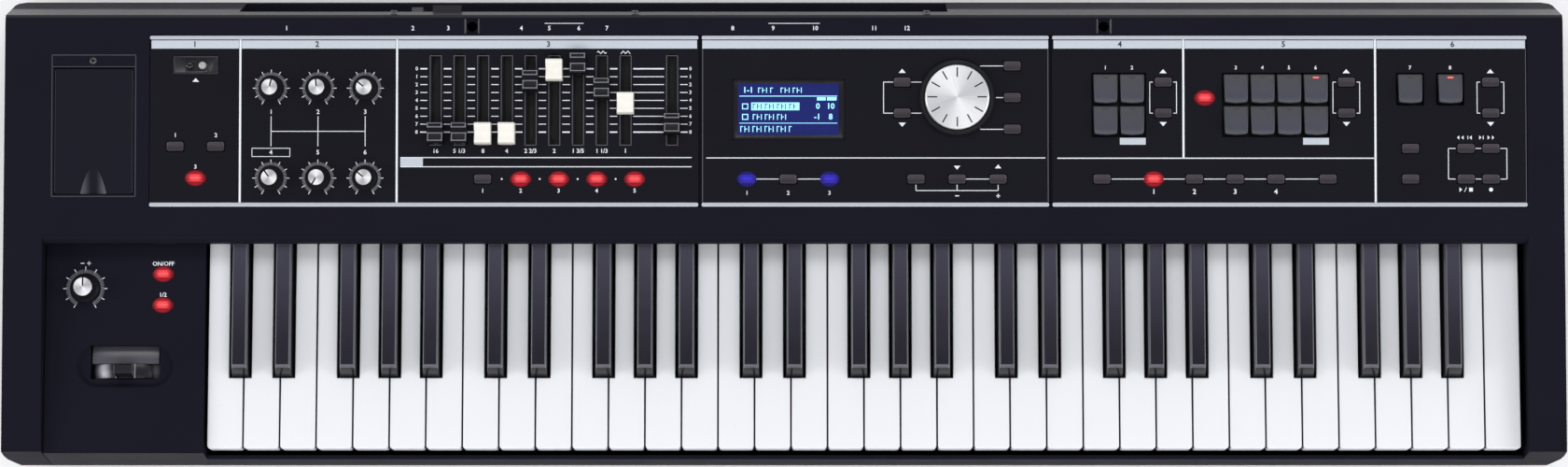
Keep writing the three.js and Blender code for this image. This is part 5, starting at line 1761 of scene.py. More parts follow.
    def black(self, index: int) -> Piece:
        """One black key: tapered sides, a sloping front, a groove near the panel and its arm.

        Args:
            index: its number in the octave.

        Returns:
            The key.
        """
        x, half = self.middle(index), self.black_base / 2
        low, high = self.top - self.black_skirt, self.top + self.black_rise
        key = Piece.block((x - half, self.black_front, low), (x + half, self.rear, high))
        key.pick(Pick.CORNERS, lambda c, v: c.z > self.top)
        key.resize((self.black_top / self.black_base, 1, 1), (x, 0, high))
        key.slice((0, 0, self.top), (0, 0, 1))
        key.pick(Pick.CORNERS, lambda c, v: c.z > high - 1 and c.y < self.black_front + 1)
        key.shift((0, self.black_run, 0))
        shelf = self.panel_edge - self.black_shelf
        for y in (shelf, shelf + 0.8):
            key.slice((0, y, 0), (0, 1, 0))
        key.pick(Pick.CORNERS, lambda c, v: c.z > high - 1 and c.y > shelf + 0.4)
        key.shift((0, 0, -self.groove))
        key.pick(
            Pick.EDGES,
            lambda c, e: c.z > high - 1.9 and e.calc_face_angle(0) > 0.3 and c.y < self.rear - 1,
        )
        key.bevel(self.black_round, 4)
        key.pick(
            Pick.EDGES,
            lambda c, e: c.y < self.black_front + self.black_run
            and e.calc_face_angle(0) > 0.6
            and self.top - 0.2 < c.z < high - 2.5,
        )
        key.bevel(0.7, 3)
        return key.join(self.arm(x, 2))


@dataclass
class Case:
    """The two halves of the case, its feet and its screws; sizes in millimetres."""

    foot_radius: float = 11.0
    foot_height: float = 7.0
    foot_x: float = 462.0
    foot_y: float = 109.98
    screw_columns: Sequence[float] = (-340.0, -150.0, 40.0, 230.0, 420.0)
    screw_rows: Sequence[float] = (-115.0, 10.0)
    rear_screws: Sequence[float] = (-251.9, -96.2, 92.0)
    rear_row: float = 132.0
    wall_row: Pair = (136.2, 87.0)
    wall_slope: Pair = (18.6, 67.0)
    rests: Sequence[Point] = ((-200.8, 134.6, 0.0), (205.9, 134.6, 0.0))

    def build(self) -> None:
        """Dresses the halves and adds what is fastened to them."""
        dress(Finishes.case, "upper_case", "lower_case")
        self.rest_sides()
        self.feet()
        self.base_screws()
        self.wall_screws()

    def feet(self) -> None:
        """Four rubber feet with a rolled edge and a screw well."""
        top, wide = self.foot_height, self.foot_radius
        foot = Piece.turned(
            [(3.0, 2.4), (3.4, 0.3), (4.2, 0.0), (9.6, 0.0), (10.7, 0.7), (wide, 2.0), (wide, top)]
        ).smooth(40)
        names = ("front_left", "front_right", "rear_left", "rear_right")
        places = [(sx * self.foot_x, sy * self.foot_y) for sy in (-1, 1) for sx in (-1, 1)]
        for name, (x, y) in zip(names, places):
            foot.copy((x, y, 0)).done(
                "rubber_foot_" + name, Finishes.rubber, ROOT, ("foot_" + name,)
            )
        foot.discard()

    def rest_sides(self) -> None:
        """The leaning left and right sides of the two recesses for a music rest."""
        sides = Piece.block((-4.75, -4.75, -1.58), (4.75, 4.75, 0.33))
        funnel = Piece.block((-3.6, -5.0, -2.0), (3.6, 5.0, 0.5))
        funnel.pick(Pick.CORNERS, lambda c, v: c.z > 0).resize((1.31, 1, 1), (0, 0, 0))
        sides.less(funnel)
        moves = [spot(place) for place in self.rests]
        sides.spread(moves).done("rest_socket_sides", Finishes.frame)
        sides.discard()

    @staticmethod
    def screw(radius: float = 3.2, rise: float = 1.1) -> Piece:
        """A domed screw head with a cross recess, standing on z = 0.

        Args:
            radius: the head's radius.
            rise: the head's height.

        Returns:
            The screw head.
        """
        head = Piece.turned(
            [(radius, -0.6), (radius, 0.15), (radius * 0.8, rise * 0.75), (radius * 0.4, rise)], 20
        )
        arm = radius * 0.62
        bars = [
            Piece.block((-arm, -0.35, rise - 0.7), (arm, 0.35, rise + 1)),
            Piece.block((-0.35, -arm, rise - 0.7), (0.35, arm, rise + 1)),
        ]
        return head.less(*bars).smooth(30)

    def base_screws(self) -> None:
        """Screws up into the keybed's posts and along the rear edge."""
        head = self.screw()
        down = Matrix.Rotation(math.pi, 4, "X")
        places = [(x, y) for x in self.screw_columns for y in self.screw_rows]
        places += [(x, self.rear_row) for x in self.screw_columns]
        moves = [Matrix.Translation(mm(x, y, self.foot_height)) @ down for x, y in places]
        head.spread(moves).done("base_screws", Finishes.screw)
        head.discard()

    def wall_screws(self) -> None:
        """Three screws in the sloping rear wall."""
        head = self.screw(2.4, 0.8)
        lean = math.atan2(*self.wall_slope)
        out = Matrix.Rotation(-(math.pi / 2 - lean), 4, "X")
        moves = [Matrix.Translation(mm(x, *self.wall_row)) @ out for x in self.rear_screws]
        head.spread(moves).done("wall_screws", Finishes.screw)
        head.discard()


class Lamp(Enum):
    """How a button is seen: dark, or lit in one of two colours."""

    OFF = "plain"
    RED = "red"
    BLUE = "blue"

    def finish(self) -> Finish:
        """What a button in this state wears.

        Returns:
            The cap's finish.
        """
        return {
            Lamp.OFF: Finishes.grey_cap,
            Lamp.RED: Finishes.red_cap,
            Lamp.BLUE: Finishes.blue_cap,
        }[self]

    def halo(self) -> Finish | None:
        """What the light round a lit button wears."""
        return {Lamp.RED: Finishes.halo, Lamp.BLUE: Finishes.blue_halo}.get(self)


@dataclass
class ButtonSet:
    """One panel's push buttons on their web; sizes in millimetres."""

    name: str
    node: str
    body: str
    places: Sequence[tuple[float, float, Lamp]]
    frame: Matrix = field(default_factory=SLOPE.matrix)
    height: float = 1.6
    width: float = 10.8
    depth: float = 6.0
    floor: float = -3.4
    corner: float = 1.1
    rim: float = 0.65
    crease: float = 0.35
    sink: float = 0.3

    def cap(self) -> Piece:
        """One cap: rounded corners, a rolled rim and a shallow crease across the middle.

        Returns:
            The cap.
        """
        x, y = self.width / 2, self.depth / 2
        cap = Piece.block((-x, -y, self.floor), (x, y, self.height))
        for line in (-self.crease, self.crease):
            cap.slice((0, line, 0), (0, 1, 0))
        cap.pick(Pick.FACES, lambda c, f: f.normal.z > 0.9 and abs(c.y) < self.crease)
        cap.shift((0, 0, -self.sink))
        cap.pick(Pick.EDGES, lambda c, e: stands(e) and abs(c.x) > x - 0.1)
        cap.bevel(self.corner, 4)
        cap.pick(Pick.EDGES, lambda c, e: c.z > self.height - 0.5 and self.outer(e))
        return cap.bevel(self.rim, 3).remember().smooth(42)

    @staticmethod
    def outer(edge: bmesh.types.BMEdge) -> bool:
        """Says whether an edge is on the cap's rim."""
        return edge.calc_face_angle(0) > 0.9 and any(abs(f.normal.z) < 0.2 for f in edge.link_faces)

    def glow(self) -> Piece:
        """The lit film round a button, with the button's opening in it.

        Returns:
            The film.
        """
        film = Piece.disc((0, 0, 0.01), 1, 40)
        film.all().resize((*Halo.reach, 1), (0, 0, 0)).draw((0, 0, 0.05)).outwards()
        x, y = self.width / 2 + 0.1, self.depth / 2 + 0.1
        return film.less(Piece.block((-x, -y, -1), (x, y, 1))).remember()

    def build(self) -> None:
        """Copies the cap to each place and joins those that look alike."""
        cap, film = self.cap(), self.glow()
        for state in Lamp:
            moves = [spot((x, y, 0), self.frame) for x, y, lamp in self.places if lamp is state]
            if not moves:
                continue
            name = f"{self.name}_{state.value}"
            cap.spread(moves).done(name, state.finish(), self.body, (self.node,))
            if state.halo():
                film.spread(moves).done(name + "_halo", state.halo())
        for master in (cap, film):
            master.discard()


@dataclass(frozen=True)
class Row:
    """Middles that buttons share with the print beside them, in the panel's millimetres."""

    low: float = 36.2
    high: float = 55.9
    steps: Pair = (98.6, 78.6)
    sensor: Sequence[Pair] = ((-391.3, 57.2), (-365.2, 57.2), (-378.3, 36.8))
    organ: Sequence[float] = tuple(-193.6 + 24.4 * i for i in range(5))
    display: Sequence[float] = (-23.8, 2.7, 29.2)
    dial: Sequence[float] = (84.8, 111.2, 137.6)
    numbered: Sequence[float] = (204.3, 237.6, 263.7, 289.9, 316.1, 349.5)
    arrows: Sequence[float] = (243.8, 361.6, 454.3)


@dataclass
class TonePads:
    """The fourteen large pads and their lamps; sizes in millimetres."""

    columns: Sequence[float] = (206.7, 223.8, 290.6, 307.7, 324.8, 341.9)
    rows: Sequence[float] = (94.6, 74.2)
    drum: Sequence[float] = (402.6, 428.4)
    rear_width: float = 16.2
    front_width: float = 14.6
    depth: float = 18.2
    rear_top: float = 1.4
    top: float = 4.0
    lit: Sequence[Pair] = ((341.9, 94.6), (428.4, 94.6))

    def places(self) -> list[Pair]:
        """Every pad's middle."""
        grid = [(x, y) for x in self.columns for y in self.rows]
        return grid + [(x, self.rows[0]) for x in self.drum]

    def pad(self) -> Piece:
        """A pad that narrows and rises towards the player, with a bowed front edge.

        Returns:
            The pad.
        """
        x, y = self.rear_width / 2, self.depth / 2
        pad = Piece.block((-x, -y, -2.0), (x, y, self.rear_top))
        for line in (-4.5, 4.5):
            pad.slice((0, line, 0), (0, 1, 0))
        for line in (-4.0, 0.0, 4.0):
            pad.slice((line, 0, 0), (1, 0, 0))
        share = self.front_width / self.rear_width
        for line in (-y, -4.5, 4.5):
            narrow = share + (1 - share) * (line + y) / self.depth
            pad.pick(Pick.CORNERS, lambda c, v: abs(c.y - line) < 0.1)
            pad.resize((narrow, 1, 1), (0, line, 0))
        rise = self.top - self.rear_top
        for line, lift in ((-y, rise - 0.5), (-4.5, rise), (4.5, rise * 0.33)):
            pad.pick(Pick.CORNERS, lambda c, v: abs(c.y - line) < 0.1 and c.z > 0)
            pad.shift((0, 0, lift))
        for line, bow in ((0.0, -1.0), (4.0, -0.72), (-4.0, -0.72)):
            pad.pick(Pick.CORNERS, lambda c, v: c.y < 0.1 - y and abs(c.x - line * share) < 0.5)
            pad.shift((0, bow + 0.3, 0))
        pad.pick(Pick.EDGES, lambda c, e: stands(e) and abs(c.x) > 6 and abs(c.y) > 8)
        pad.bevel(1.0, 3)
        pad.pick(Pick.EDGES, self.rim)
        return pad.bevel(0.9, 3).remember().smooth(45)

    @staticmethod
    def rim(middle: Vector, edge: bmesh.types.BMEdge) -> bool:
        """Says whether an edge is on the pad's top rim."""
        return middle.z > 0.5 and edge.calc_face_angle(0) > 0.9

    def lens(self) -> Piece:
        """The lamp's small window, rounded at its ends.

        Returns:
            The window.
        """
        lens = Piece.block((-1.9, 6.3, 0.8), (1.9, 7.3, 2.0))
        lens.pick(Pick.EDGES, lambda c, e: stands(e)).bevel(0.45, 3)
        lens.pick(Pick.EDGES, lambda c, e: c.z > 1.9).bevel(0.15, 2)
        return lens.remember((0, 6.8, 0)).smooth(40)

    def build(self) -> None:
        """Copies pad and window to every place."""
        pad, lens = self.pad(), self.lens()
        dark = [place for place in self.places() if place not in self.lit]
        for master, places, name, finish, nodes in (
            (pad, self.places(), "tone_pads", Finishes.pad, ("tone_buttons",)),
            (lens, dark, "pad_lamps_off", Finishes.grey_cap, ()),
            (lens, self.lit, "pad_lamps_on", Finishes.red_lamp, ()),
        ):
            moves = [spot((x, y, 0)) for x, y in places]
            master.spread(moves).done(name, finish, "tone_caps", nodes)
        for master in (pad, lens):
            master.discard()


@dataclass
class Knob:
    """A turning knob with a spun cap and a pointer line; sizes in millimetres."""

    name: str
    node: str
    body: str
    place: Point
    bearing: float = 0.0
    scale: float = 1.0
    frame: Matrix = field(default_factory=SLOPE.matrix)
    profile: Sequence[Pair] = (
        (7.3, 0.6), (7.6, 0.9), (7.6, 2.8), (7.3, 3.2), (6.5, 4.0),
        (6.3, 4.4), (5.72, 11.6), (5.45, 12.1), (5.1, 12.15),
    )
    flutes: Pair = (4.4, 11.6)

    def build(self) -> None:
        """Makes the skirt, its flutes, the metal cap and the pointer."""
        s = self.scale
        body = Piece.turned([(wide * s, high) for wide, high in self.profile], 48)
        low, high = self.flutes
        body.pick(Pick.FACES, lambda c, f: low < c.z < high and is_side(f) and self.odd(c))
        body.inset(0.1, -0.18, True)
        cap = Piece.turned([(4.9 * s, 11.9), (5.0 * s, 12.2), (4.8 * s, 12.4)], 48)
        cap.pick(Pick.FACES, lambda c, f: f.normal.z > 0.9).inset(0.5 * s, 0).inset(2.2 * s, 0)
        line = Piece.block((-0.5, 0.4, 12.1), (0.5, 5.3 * s, 12.46))
        line.slice((0, 4.2 * s, 0), (0, 1, 0)).soften(0.12, 2)
        turn = math.radians(self.bearing)
        parts = (
            (body, "", Finishes.skirt, (self.node,)),
            (cap, "_face", Finishes.cap_metal, ()),
            (line, "_line", Finishes.skirt, ()),
        )
        for piece, suffix, finish, stands_for in parts:
            piece.remember().smooth(35).settle(self.frame, self.place, turn)
            piece.done(self.name + suffix, finish, self.body, stands_for)

    @staticmethod
    def odd(middle: Vector) -> bool:
        """Says whether a side face is one of every other pair."""
        return int((math.degrees(math.atan2(middle.y, middle.x)) % 360) / 7.5) % 2 == 0

    @staticmethod
    def scale_ring(white: Sheet, grey: Sheet, place: Point, size: float = 1.0) -> None:
        """Eleven long ticks round a knob, over a ring of fine ones.

        Args:
            white: the ink of the long ticks.
            grey: the ink of the fine ones.
            place: the knob's middle.
            size: its scale.
        """
        for step in range(61):
            grey.spoke(place, KNOB_START + 5 * step, 8.3 * size, 10.3 * size, 0.32)
        for step in range(11):
            white.spoke(place, KNOB_START + 30 * step, 9.2 * size, 11.9 * size, 0.5)


@dataclass
class ValueDial:
    """The large spun dial; sizes in millimetres."""

    place: Point = (111.2, 88.6, 0)
    radius: float = 20.7
    height: float = 7.0
    marks: int = 12

    def build(self) -> None:
        """Turns the dial, and lays its marks on it."""
        r, h = self.radius, self.height
        dial = Piece.turned(
            [(r - 0.4, 0.6), (r, 1.0), (r, h - 1.1), (r - 0.35, h - 0.4), (r - 1.0, h)], 96
        )
        dial.pick(Pick.FACES, lambda c, f: f.normal.z > 0.99).inset(7.2, -0.02).inset(6, -0.18)
        dial.remember().smooth(30).settle(PANEL, self.place)
        dial.done("value_dial_disc", Finishes.spun, "dial", ("value_dial",))
        marks = Sheet()
        for i in range(self.marks):
            marks.spoke((0, 0), i * 360 / self.marks, 12.9, 19.0, 0.8)
        marks.print_on(spot(self.place), self.height)
        marks.done("value_dial_marks", Finishes.skirt, "dial")
        lip = [(24.52, 0.02), (24.52, 1.5), (24.1, 2.25), (23.3, 2.47), (21.9, 2.47), (21.28, 2.1)]
        collar = Piece.turned(lip, 96)
        collar.pick(Pick.FACES, lambda c, f: abs(f.normal.z) > 0.9 and c.xy.length < 5)
        collar.delete().smooth(45).settle(PANEL, self.place)
        collar.done("value_dial_collar", Finishes.collar)


@dataclass
class Drawbars:
    """Nine drawbars and the level slider; sizes in millimetres."""

    columns: Sequence[float] = tuple(-224 + 15.26 * i for i in range(9)) + (-72.0,)
    rests: Sequence[float] = (0, 0, 0, 0, 33.6, 40.8, 44.7, 28.6, 19.4, 6)
    whites: Sequence[int] = (2, 3, 5, 8)
    lowest: float = 65.2
    width: float = 11.2
    floor: float = 0.9
    blank: float = 8.0
    taper: float = 0.94
    stations: Sequence[Pair] = (
        (-7.0, 6.4), (-5.8, 9.6), (-4.6, 9.6), (0.0, 7.4), (4.6, 11.0), (5.8, 11.0), (7.0, 9.8),
    )

    def cap(self) -> Piece:
        """A saddle-shaped cap with a ridge at each end, on its stem.

        Returns:
            The cap.
        """
        half, end = self.width / 2, self.stations[-1][0]
        cap = Piece.block((-half, -end, self.floor), (half, end, self.blank))
        for y, _ in self.stations[1:-1]:
            cap.slice((0, y, 0), (0, 1, 0))
        for y, z in self.stations:
            cap.pick(Pick.CORNERS, lambda c, v: abs(c.y - y) < 0.05 and c.z > 4)
            cap.shift((0, 0, z - self.blank))
        cap.pick(Pick.CORNERS, lambda c, v: c.z > 4).resize((self.taper, 1, 1), (0, 0, self.blank))
        cap.soften(0.45, 3, 25)
        stem = Piece.block((-1.3, -2.5, -7.6), (1.3, 2.5, self.floor + 0.5)).soften(0.2, 1)
        return cap.join(stem).remember().smooth(40)

    def build(self) -> None:
        """Copies the cap to each slot."""
        master = self.cap()
        for i, (x, rest) in enumerate(zip(self.columns, self.rests)):
            level = i == len(self.columns) - 1
            name = "level_slider" if level else f"drawbar_{i + 1}"
            body = "slider_level" if level else f"slider_{i + 1}"
            finish = Finishes.drawbar_white if i in self.whites else Finishes.drawbar_black
            cap = master.copy().settle(PANEL, (x, self.lowest + rest, 0))
            cap.done(name + "_cap", finish, body, (name,))
        master.discard()


@dataclass
class Plates:
    """The three printed plates with their bars, bands, lines and numerals; millimetres."""

    edges: Sequence[Pair] = ((-407.8, -55.05), (-52.95, 170.35), (172.45, 477.6))
    front_bar: Pair = (18.4, 21.0)
    rear_bar: Pair = (126.0, 128.4)
    band: Pair = (120.2, 125.5)
    rib: float = 0.8

    def build(self) -> None:
        """Dresses the plates and prints on them."""
        names = ("organ", "display", "tone")
        dress(Finishes.plate, *[name + "_panel_plate" for name in names])
        for name, (left, right) in zip(names, self.edges):
            self.bars(name, left, right)
        white, grey, band, dark = Sheet(), Sheet(), Sheet(), Sheet()
        for i, x in enumerate((-379.0, -300.3, -151.5, 216.1, 321.3, 430.0)):
            dark.numeral(str(i + 1), x, 122.85, 3.6)
        self.organ_lines(white, grey, band)
        self.display_lines(white, grey, band)
        self.tone_lines(white, grey, band)
        for sheet, name, finish in (
            (white, "panel_print_white", Finishes.white_ink),
            (grey, "panel_print_grey", Finishes.grey_ink),
            (band, "panel_print_bands", Finishes.band),
        ):
            sheet.print_on().done(name, finish)
        dark.print_on(PANEL, 0.06).done("panel_print_dark", Finishes.dark_ink)

    def bars(self, name: str, left: float, right: float) -> None:
        """The silver bars along a plate's front and rear edges.

        Args:
            name: the plate's name.
            left: its left.
            right: its right.
        """
        parts = []
        for low, high in (self.front_bar, self.rear_bar):
            bar = Piece.block(
                (left - 0.03, low - 0.04, 0.02), (right + 0.03, high + 0.04, self.rib + 0.12)
            )
            bar.pick(Pick.EDGES, lambda c, e: stands(e)).bevel(0.9, 3)
            bar.pick(Pick.EDGES, lambda c, e: c.z > self.rib and e.calc_face_angle(0) > 0.9)
            parts.append(bar.bevel(0.35, 3))
        parts[0].join(parts[1]).smooth(40).settle(PANEL)
        parts[0].done(name + "_plate_bars", Finishes.bar)

    def organ_lines(self, white: Sheet, grey: Sheet, band: Sheet) -> None:
        """The left plate: beam and knob sections, then the drawbars' scale.

        Args:
            white: the white ink.
            grey: the grey ink.
            band: the silver ink.
        """
        left, right = self.edges[0]
        splits = (left, -349.7, -248.9, right)
        for a, b in zip(splits, splits[1:]):
            band.strip(a + 0.9, self.band[0], b - 0.9, self.band[1])
        for x in splits[1:3]:
            white.upright(x, self.front_bar[1], self.rear_bar[0], 1.3)
        for x in Drawbars().columns:
            grey.frame(x - 3.6, 58.0, x + 3.6, 115.6, 0.45)
        self.scale(white)
        for y in (50.0, 44.1):
            white.across(y, -246.6, -59.4, 0.55)
        band.strip(-246.6, 44.4, -232.1, 49.7)
        for i, x in enumerate(Row.organ):
            white.numeral(str(i + 1), x, 28.6, 2.6)
            if i:
                white.dot(x - 12.2, Row.low, 0.6, 10)
        self.knob_rings(white)
        self.sensor_lines(white)

    def scale(self, white: Sheet) -> None:
        """Dashes between the slots, the figures at both ends and the footages below.

        Args:
            white: the white ink.
        """
        columns = Drawbars().columns
        for mark in range(9):
            y = 107.2 - 5.1 * mark
            width = 0.85 if mark in (0, 8) else 0.5
            runs = [(columns[0] - 9.9, columns[0] - 5.4)]
            runs += [(x + 5.2, x + 10.0) for x in columns[:8]]
            runs += [(columns[8] + 5.0, columns[9] - 5.2), (columns[9] + 5.2, columns[9] + 10.0)]
            for x0, x1 in runs:
                white.across(y, x0, x1, width)
            for x in (columns[0] - 12.2, columns[9] + 11.8):
                white.numeral(str(mark), x, y, 2.3)
        footages = ("16", "5 1/3", "8", "4", "2 2/3", "2", "1 3/5", "1 1/3", "1")
        for x, text in zip(columns, footages):
            white.numeral(text, x, 54.2, 2.7)
        for x, steps in ((columns[7], 8), (columns[8], 4)):
            points = []
            for i in range(steps + 1):
                share = i / steps
                lift = math.sin(share * 4 * math.pi) if steps == 8 else (i % 2) * 2 - 1
                points.append((x - 3 + 6 * share, 117.8 + lift * 0.9))
            white.path(points)

    def knob_rings(self, white: Sheet) -> None:
        """The ticks round each effect knob and the lines that link the two rows.

        Args:
            white: the white ink.
        """
        fine = Sheet()
        for i, (x, y) in enumerate(EffectKnobs().places()):
            Knob.scale_ring(white, fine, (x, y))
            white.numeral(str(i + 1), x, 79.4 if i < 3 else 53.3, 2.8)
        fine.print_on().done("panel_print_fine", Finishes.fine_ink)
        for x in EffectKnobs().columns:
            white.upright(x, 57.3, 76.6, 0.45)
        white.across(66.9, -329.8, -269.3, 0.45)
        white.frame(-342.0, 50.7, -317.6, 56.0, 0.4)

    def sensor_lines(self, white: Sheet) -> None:
        """Figures by the three buttons under the beam sensor, and the arrow below it.

        Args:
            white: the white ink.
        """
        for i, (x, y) in enumerate(Row.sensor):
            white.numeral(str(i + 1), x, y + 7.2, 2.6)
        white.arrow(-378.4, 99.6, 4.2)

    def display_lines(self, white: Sheet, grey: Sheet, band: Sheet) -> None:
        """The middle plate: lines to the dial's buttons, and the two rows in front.

        Args:
            white: the white ink.
            grey: the grey ink.
            band: the silver ink.
        """
        left, right = self.edges[1]
        band.strip(left + 0.4, self.band[0], right - 0.4, self.band[1])
        for x in (left + 0.6, right - 0.6):
            grey.upright(x, self.front_bar[1], self.band[0])
        white.across(49.8, -50.0, 168.0, 0.6)
        white.upright(64.0, 78.4, 98.8)
        for y in Row.steps:
            white.across(y, 64.0, 70.2).across(y, 81.8, 88.4)
        white.arrow(76.0, 105.4, 4.6).arrow(76.0, 71.6, 4.6, 180)
        for y, x in ((109.0, 126.1), (88.6, 136.2), (68.2, 126.1)):
            white.across(y, x, 141.0)
        white.across(Row.low, -17.8, -3.4).across(Row.low, 8.9, 23.3)
        for i, x in enumerate(Row.display):
            white.numeral(str(i + 1), x, 27.2, 2.6)
        white.across(Row.low, 116.9, 131.9).across(28.8, 84.8, 137.6)
        for x in Row.dial:
            white.upright(x, 28.8, 32.6)
        white.arrow(111.2, 43.9, 4.2, 180).arrow(137.6, 43.9, 4.2)
        white.across(25.4, 109.9, 112.5, 0.6)
        white.across(25.4, 136.3, 138.9, 0.6).upright(137.6, 24.1, 26.7, 0.6)

    def tone_lines(self, white: Sheet, grey: Sheet, band: Sheet) -> None:
        """The right plate: pads, arrow buttons, the numbered row and the transport.

        Args:
            white: the white ink.
            grey: the grey ink.
            band: the silver ink.
        """
        left, right = self.edges[2]
        pads = TonePads()
        splits = (left, 256.8, 380.2, right)
        for a, b in zip(splits, splits[1:]):
            band.strip(a + 0.9, self.band[0], b - 0.9, self.band[1])
        white.upright(256.8, 49.6, self.rear_bar[0], 1.3)
        white.upright(380.2, self.front_bar[1], self.rear_bar[0], 1.3)
        white.across(49.6, 175.7, 380.2, 0.7)
        grey.upright(right - 0.6, self.front_bar[1], self.band[0], 0.4)
        for x in Row.arrows:
            for side in (-1, 1):
                white.upright(x + side * 8.6, 78.4, 98.8)
                for y in Row.steps:
                    white.across(y, x + side * 8.6, x + side * 6.6)
            white.arrow(x, 105.2, 4.6).arrow(x, 72.0, 4.6, 180)
        for x in (224.2, 342.0):
            band.strip(x - 8.3, 58.3, x + 8.3, 62.7)
        for a, b in zip(Row.numbered, Row.numbered[1:]):
            white.across(Row.low, a + 6.2, b - 6.2)
        for i, x in enumerate(Row.numbered[1:5]):
            white.numeral(str(i + 1), x, 28.0, 3.2)
        for i, x in enumerate((*pads.columns, *pads.drum)):
            white.numeral(str(i + 1), x, 107.8, 2.4)
        self.transport(white)

    @staticmethod
    def transport(white: Sheet) -> None:
        """The bracket round the four transport buttons, and their usual signs.

        Args:
            white: the white ink.
        """
        for x in (427.0, 464.6):
            white.upright(x, Row.low, Row.high)
        for y in (Row.low, Row.high):
            white.across(y, 427.0, 431.6).across(y, 444.4, 448.2)
            white.across(y, 460.4, 464.6)
        for x, turn in ((433.6, 270), (436.4, 270), (452.8, 90), (455.6, 90)):
            white.arrow(x, 62.9, 2.6, turn)
        white.upright(439.6, 61.8, 64.0).arrow(441.6, 62.9, 2.6, 270)
        white.arrow(447.4, 62.9, 2.6, 90).upright(449.5, 61.8, 64.0)
        white.arrow(434.6, 29.4, 3.0, 90).strip(440.2, 28.2, 442.6, 30.6).dot(454.3, 29.4, 1.3, 20)
        white.spoke((437.9, 29.4), 25, -1.6, 1.6, 0.4)


@dataclass
class EffectKnobs:
    """The six effect knobs; sizes in millimetres."""

    columns: Sequence[float] = (-329.787, -299.608, -269.287)
    rows: Sequence[float] = (94.7, 36.8)
    bearings: Sequence[float] = (15, -5, -50, -35, -150, -50)

    def places(self) -> list[Pair]:
        """Every knob's middle, by rows from the rear."""
        return [(x, y) for y in self.rows for x in self.columns]

    def build(self) -> None:
        """Makes the six knobs."""
        for i, ((x, y), bearing) in enumerate(zip(self.places(), self.bearings), 1):
            node = f"effect_knob_{i}"
            Knob(node + "_body", node, f"knob_{i}", (x, y, 0), bearing).build()


@dataclass
class DisplayWindow:
    """The lit display in its dark window; sizes in millimetres."""

    place: Point = (3.0, 80.9)
    size: Point = (71.6, 38.6)
    active: tuple[float, float, float, float] = (-29.7, 64.6, 35.2, 97.8)
    letter: float = 2.6

    def build(self) -> None:
        """Makes the window, the lit face and what it shows."""
        (x, y), (w, d) = self.place, self.size
        window = Piece.block((x - w / 2, y - d / 2, -7.0), (x + w / 2, y + d / 2, -0.2))
        window.pick(Pick.FACES, lambda c, f: f.normal.z > 0.9).inset(1.2).inset(0.3, -0.15)
        window.pick(Pick.EDGES, lambda c, e: stands(e)).bevel(1.2, 4)
        window.remember().smooth(30).settle(PANEL)
        window.done("display_window", Finishes.window, ROOT, ("display_module",))
        x0, y0, x1, y1 = self.active
        face = Piece.block((x0, y0, -0.5), (x1, y1, -0.3))
        face.pick(Pick.EDGES, lambda c, e: stands(e)).bevel(0.8, 3)
        face.remember(((x0 + x1) / 2, (y0 + y1) / 2, 0)).settle(PANEL)
        face.done("display_face", Finishes.screen)
        self.message()

    def message(self) -> None:
        """Figures and plain bars on the lit face."""
        x0, y0, x1, y1 = self.active
        sheet = Sheet()
        sheet.numeral("1-1", x0 + 6.6, y1 - 4.4, 3.6)
        for start, end in ((13.0, 24.5), (27.5, 44.5)):
            self.word(sheet, x0 + start, y1 - 4.4, end - start, 3.4)
        sheet.across(y1 - 8.2, x0 + 1, x1 - 1)
        for left, right in ((14.0, 8.4), (7.6, 1.4)):
            sheet.strip(x1 - left, y1 - 11.0, x1 - right, y1 - 8.9)
        for i, (y, length) in enumerate(((y1 - 14.8, 31.0), (y1 - 21.6, 25.0))):
            sheet.frame(x0 + 3.0, y - 1.6, x0 + 6.4, y + 1.6, 0.6)
            if i == 0:
                sheet.strip(x0 + 8.6, y - 2.5, x0 + 8.6 + length, y + 2.5)
            else:
                self.word(sheet, x0 + 9.6, y, length, 3.6)
        values = (("0", 13.4, 14.8), ("10", 5.2, 14.8), ("-1", 13.8, 21.6), ("8", 5.2, 21.6))
        for text, x, y in values:
            sheet.numeral(text, x1 - x, y1 - y, 3.6)
        sheet.across(y1 - 25.6, x0 + 1, x1 - 1, 0.4)
        self.word(sheet, x0 + 1.6, y1 - 29.4, 34.0, 3.8)
        sheet.print_on(PANEL, -0.3, 0.04)
        sheet.done("display_figures", Finishes.glyph)
        marked = Sheet()
        self.word(marked, x0 + 9.6, y1 - 14.8, 29.0, 3.6)
        marked.print_on(PANEL, -0.27, 0.04)
        marked.done("display_marked_figures", Finishes.screen)

    def word(self, sheet: Sheet, x: float, y: float, length: float, height: float) -> None:
        """A run of upright and level bars, as long and as tall as a word.

        Args:
            sheet: what it is drawn on.
            x: its left.
            y: its middle.
            length: its length.
            height: its height.
        """
        for i in range(int(length / self.letter)):
            at = x + i * self.letter
            sheet.upright(at + 0.3, y - height / 2, y + height / 2, 0.55)
            if i % 3 != 2:
                sheet.across(y + (height / 2 - 0.3) * (1 - i % 3), at + 0.3, at + 1.8, 0.5)


